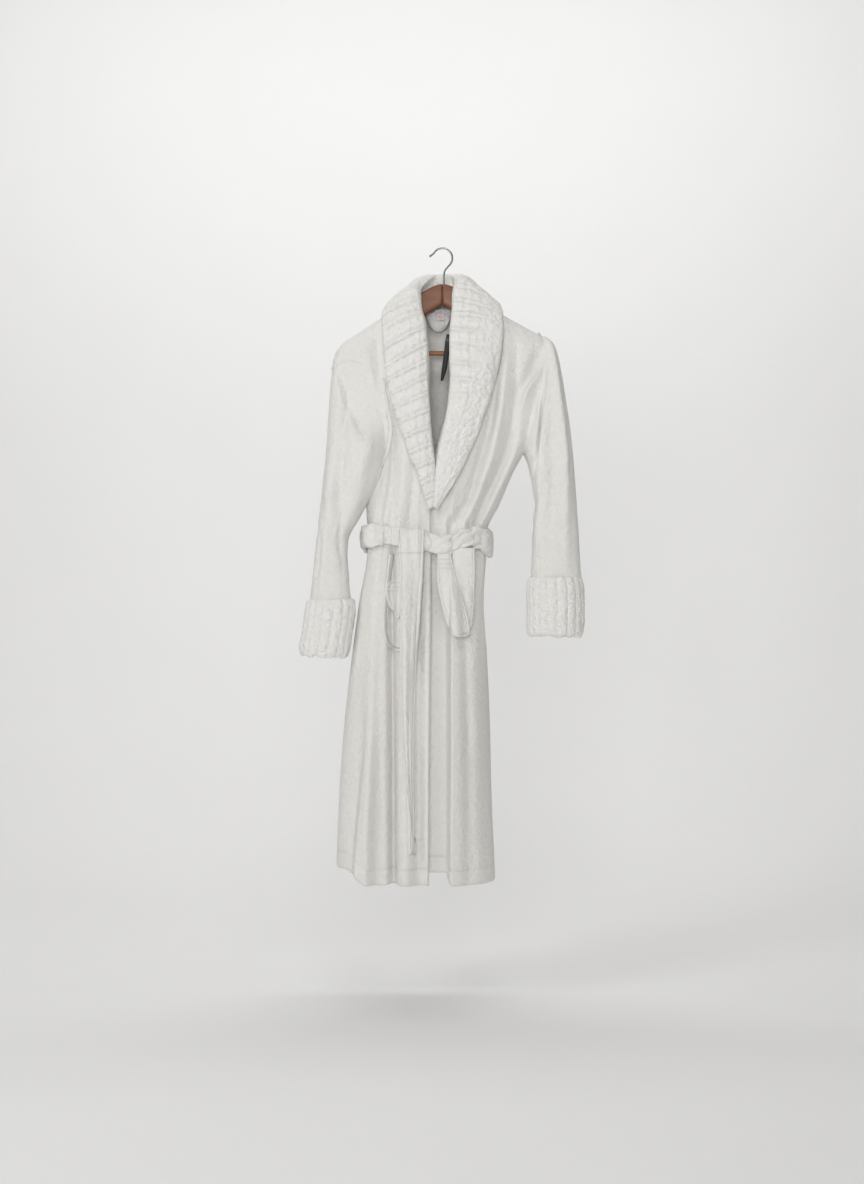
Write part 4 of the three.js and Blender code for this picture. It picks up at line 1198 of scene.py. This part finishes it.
def make_hook():
    """The bent wire with a ball at its tip, down into the wood."""
    radius = CROOK + WIRE_RADIUS
    line = [(-radius - 4.5, 0, -14)]
    for degrees in (150, 130, 110, 90, 70, 50, 30, 10, -10, -30):
        a = math.radians(degrees)
        line.append((radius * math.cos(a), 0, -CROOK + radius * math.sin(a)))
    line += [(10, 0, -36.5), (4.5, 0, -44), (3, 0, -52), (3, 0, -60), (3, 0, -70), (3, 0, -82), (3, 0, -96)]
    wire = sweep(line, WIRE_RADIUS)
    tip = ball(line[0], 2.3)
    plain = {"stitch_and_groove_shade": np.zeros(len(wire[0]) + len(tip[0]))}
    piece("hook_wire", [wire, tip], STEEL, "hook", ["hook"], plain)


def wood_top(x):
    """Height of the top of the wood: a hyperbola, bent in the middle and almost straight outside."""
    bend = 0.12
    out = np.hypot(np.minimum(np.abs(x) / HANGER_REACH, 1), bend) - bend
    return -YOKE_DROP - (TIP_DROP - YOKE_DROP) * out / (math.hypot(1, bend) - bend)


def make_arm(name, side):
    """One arm of the hanger: rounded sections from the seam in the middle to the tip."""
    rows, columns = 150, 64
    share = np.linspace(0, 1, rows)[:, None]
    x = HALF_GAP + (HANGER_REACH - HALF_GAP) * np.sin(share * np.pi / 2) ** 0.9
    out = x / HANGER_REACH

    def ease(start, end):
        return np.sin(np.clip((out - start) / (end - start), 0, 1) * np.pi / 2)

    tall = 42 + 8 * ease(0, 0.17) - 26 * ease(0.17, 0.5) + 11 * ease(0.5, 1)
    blunt = 12.0
    tip = np.sqrt(np.clip(1 - np.clip((x - HANGER_REACH + blunt) / blunt, 0, 1) ** 2 * 0.96, 0, 1))
    thick = lerp(14, 20, out) * tip
    start = np.clip((x - HALF_GAP) / 1.2, 0, 1)
    chamfer = 1 - 0.06 * (1 - np.sqrt(1 - (1 - start) ** 2))
    turn = 2 * np.pi * np.arange(columns)[None, :] / columns
    middle = wood_top(x) - tall / 2
    y = -HANGER_SWEEP * out**2 + thick * chamfer / 2 * squared(np.cos(turn), 0.6)
    z = middle + tall * tip * chamfer / 2 * squared(np.sin(turn), 0.6)
    points = stack(side * x, y, z)
    faces = quads(rows, columns, wraps=True)
    caps = []
    for row in (0, rows - 1):
        ids = row * columns + np.arange(columns)
        half = columns // 2
        k = np.arange(half - 1)
        across = columns - 1 - k
        cap = np.stack([ids[k], ids[k + 1], ids[across - 1], ids[across]], -1)
        caps.append(cap[:, ::-1] if row == 0 else cap)
    skin = (points.reshape(-1, 3), np.concatenate([faces, *caps]))
    piece(f"hanger_{name}_wood", [skin], WOOD, "robe", [f"hanger_{name}_arm"])


def finish_nodes():
    """Better finishes on the pieces whose shape is already right."""
    for name, material in (("trouser_bar", BAR_WOOD), ("joint_dowel", BAR_WOOD), ("bar_screw_right", STEEL),
                           ("bar_screw_left", STEEL)):
        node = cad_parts[name]
        node.data.materials.clear()
        node.data.materials.append(material)


# ---- Studio ----


def make_camera():
    data = bpy.data.cameras.new("camera")
    data.lens = 50
    data.sensor_width = 36
    made = bpy.data.objects.new("camera", data)
    made.location = (-0.021, -3.29, -0.686)
    made.rotation_euler = (math.radians(90), 0, 0)
    scene.collection.objects.link(made)
    scene.camera = made


def area_light(name, place, target, size, power):
    """A soft rectangular light that faces a target."""
    data = bpy.data.lights.new(name, "AREA")
    data.shape = "RECTANGLE"
    data.size, data.size_y = size
    data.energy = power
    made = bpy.data.objects.new(name, data)
    made.location = place
    direction = np.array(target, float) - np.array(place, float)
    yaw = math.atan2(direction[0], direction[1])
    pitch = math.atan2(direction[2], math.hypot(direction[0], direction[1]))
    made.rotation_euler = (math.pi / 2 + pitch, 0, -yaw)
    scene.collection.objects.link(made)


def make_studio():
    """A pale floor that curves up into a pale wall, soft lights and a bright even sky."""
    v = np.linspace(0, 1, 60)[:, None]
    u = np.linspace(-1, 1, 9)[None, :]
    reach = 9000.0
    radius = 1500.0
    floor, back = -1500.0, 2600.0
    turn = np.clip((v - 0.5) / 0.25, 0, 1) * np.pi / 2
    y = np.where(v < 0.5, lerp(-reach, back - radius, v / 0.5), back - radius + radius * np.sin(turn))
    z = floor + radius * (1 - np.cos(turn)) + np.clip((v - 0.75) / 0.25, 0, 1) * 4500
    points = stack(u * reach, y, z)
    paint = Finish("studio_paper", 0.9)
    grain = paint.noise(3.0, 2.0)
    paint.color(paint.mix(grain, (0.90, 0.90, 0.90), (0.92, 0.92, 0.92)))
    mesh = bpy.data.meshes.new("studio_sweep")
    flat = (points * 0.001).reshape(-1, 3)
    mesh.from_pydata(flat.tolist(), [], quads(60, 9).tolist())
    mesh.polygons.foreach_set("use_smooth", np.ones(len(mesh.polygons), bool))
    mesh.materials.append(paint.material)
    sweep_object = bpy.data.objects.new("studio_sweep", mesh)
    scene.collection.objects.link(sweep_object)
    world = bpy.data.worlds.new("studio")
    world.use_nodes = True
    world.node_tree.nodes["Background"].inputs["Color"].default_value = (1.0, 0.975, 0.925, 1)
    world.node_tree.nodes["Background"].inputs["Strength"].default_value = 0.2
    scene.world = world
    area_light("key_left", (-2.3, -1.9, 1.0), (-0.05, 0, -0.6), (0.9, 1.4), 22)
    area_light("fill_right", (2.6, -2.2, 0.6), (0.0, 0, -0.6), (1.4, 1.8), 3)
    area_light("front", (-0.3, -3.9, -0.2), (0, 0, -0.6), (1.4, 1.0), 52)
    area_light("top", (0.0, -1.7, 1.1), (0, 0, -0.25), (0.8, 0.6), 8)
    area_light("wall_wash", (0.0, 0.7, 1.8), (0, 2.6, -0.7), (4.6, 0.8), 44)
    scene.view_settings.view_transform = "Standard"
    scene.view_settings.look = "None"


make_camera()
make_studio()
make_body()
make_collar()
make_sleeve("right", RIGHT_SLEEVE, RIGHT_SLEEVE_FOLDS, -1, 30)
make_sleeve("left", LEFT_SLEEVE, LEFT_SLEEVE_FOLDS, 1, 0)
make_cuff("right", RIGHT_CUFF, -1)
make_cuff("left", LEFT_CUFF, 1)
make_belt()
make_straps()
make_pocket()
make_facing()
make_neck_label()
make_swing_label()
make_hook()
for arm_name, arm_side in (("right", -1), ("left", 1)):
    make_arm(arm_name, arm_side)
finish_nodes()
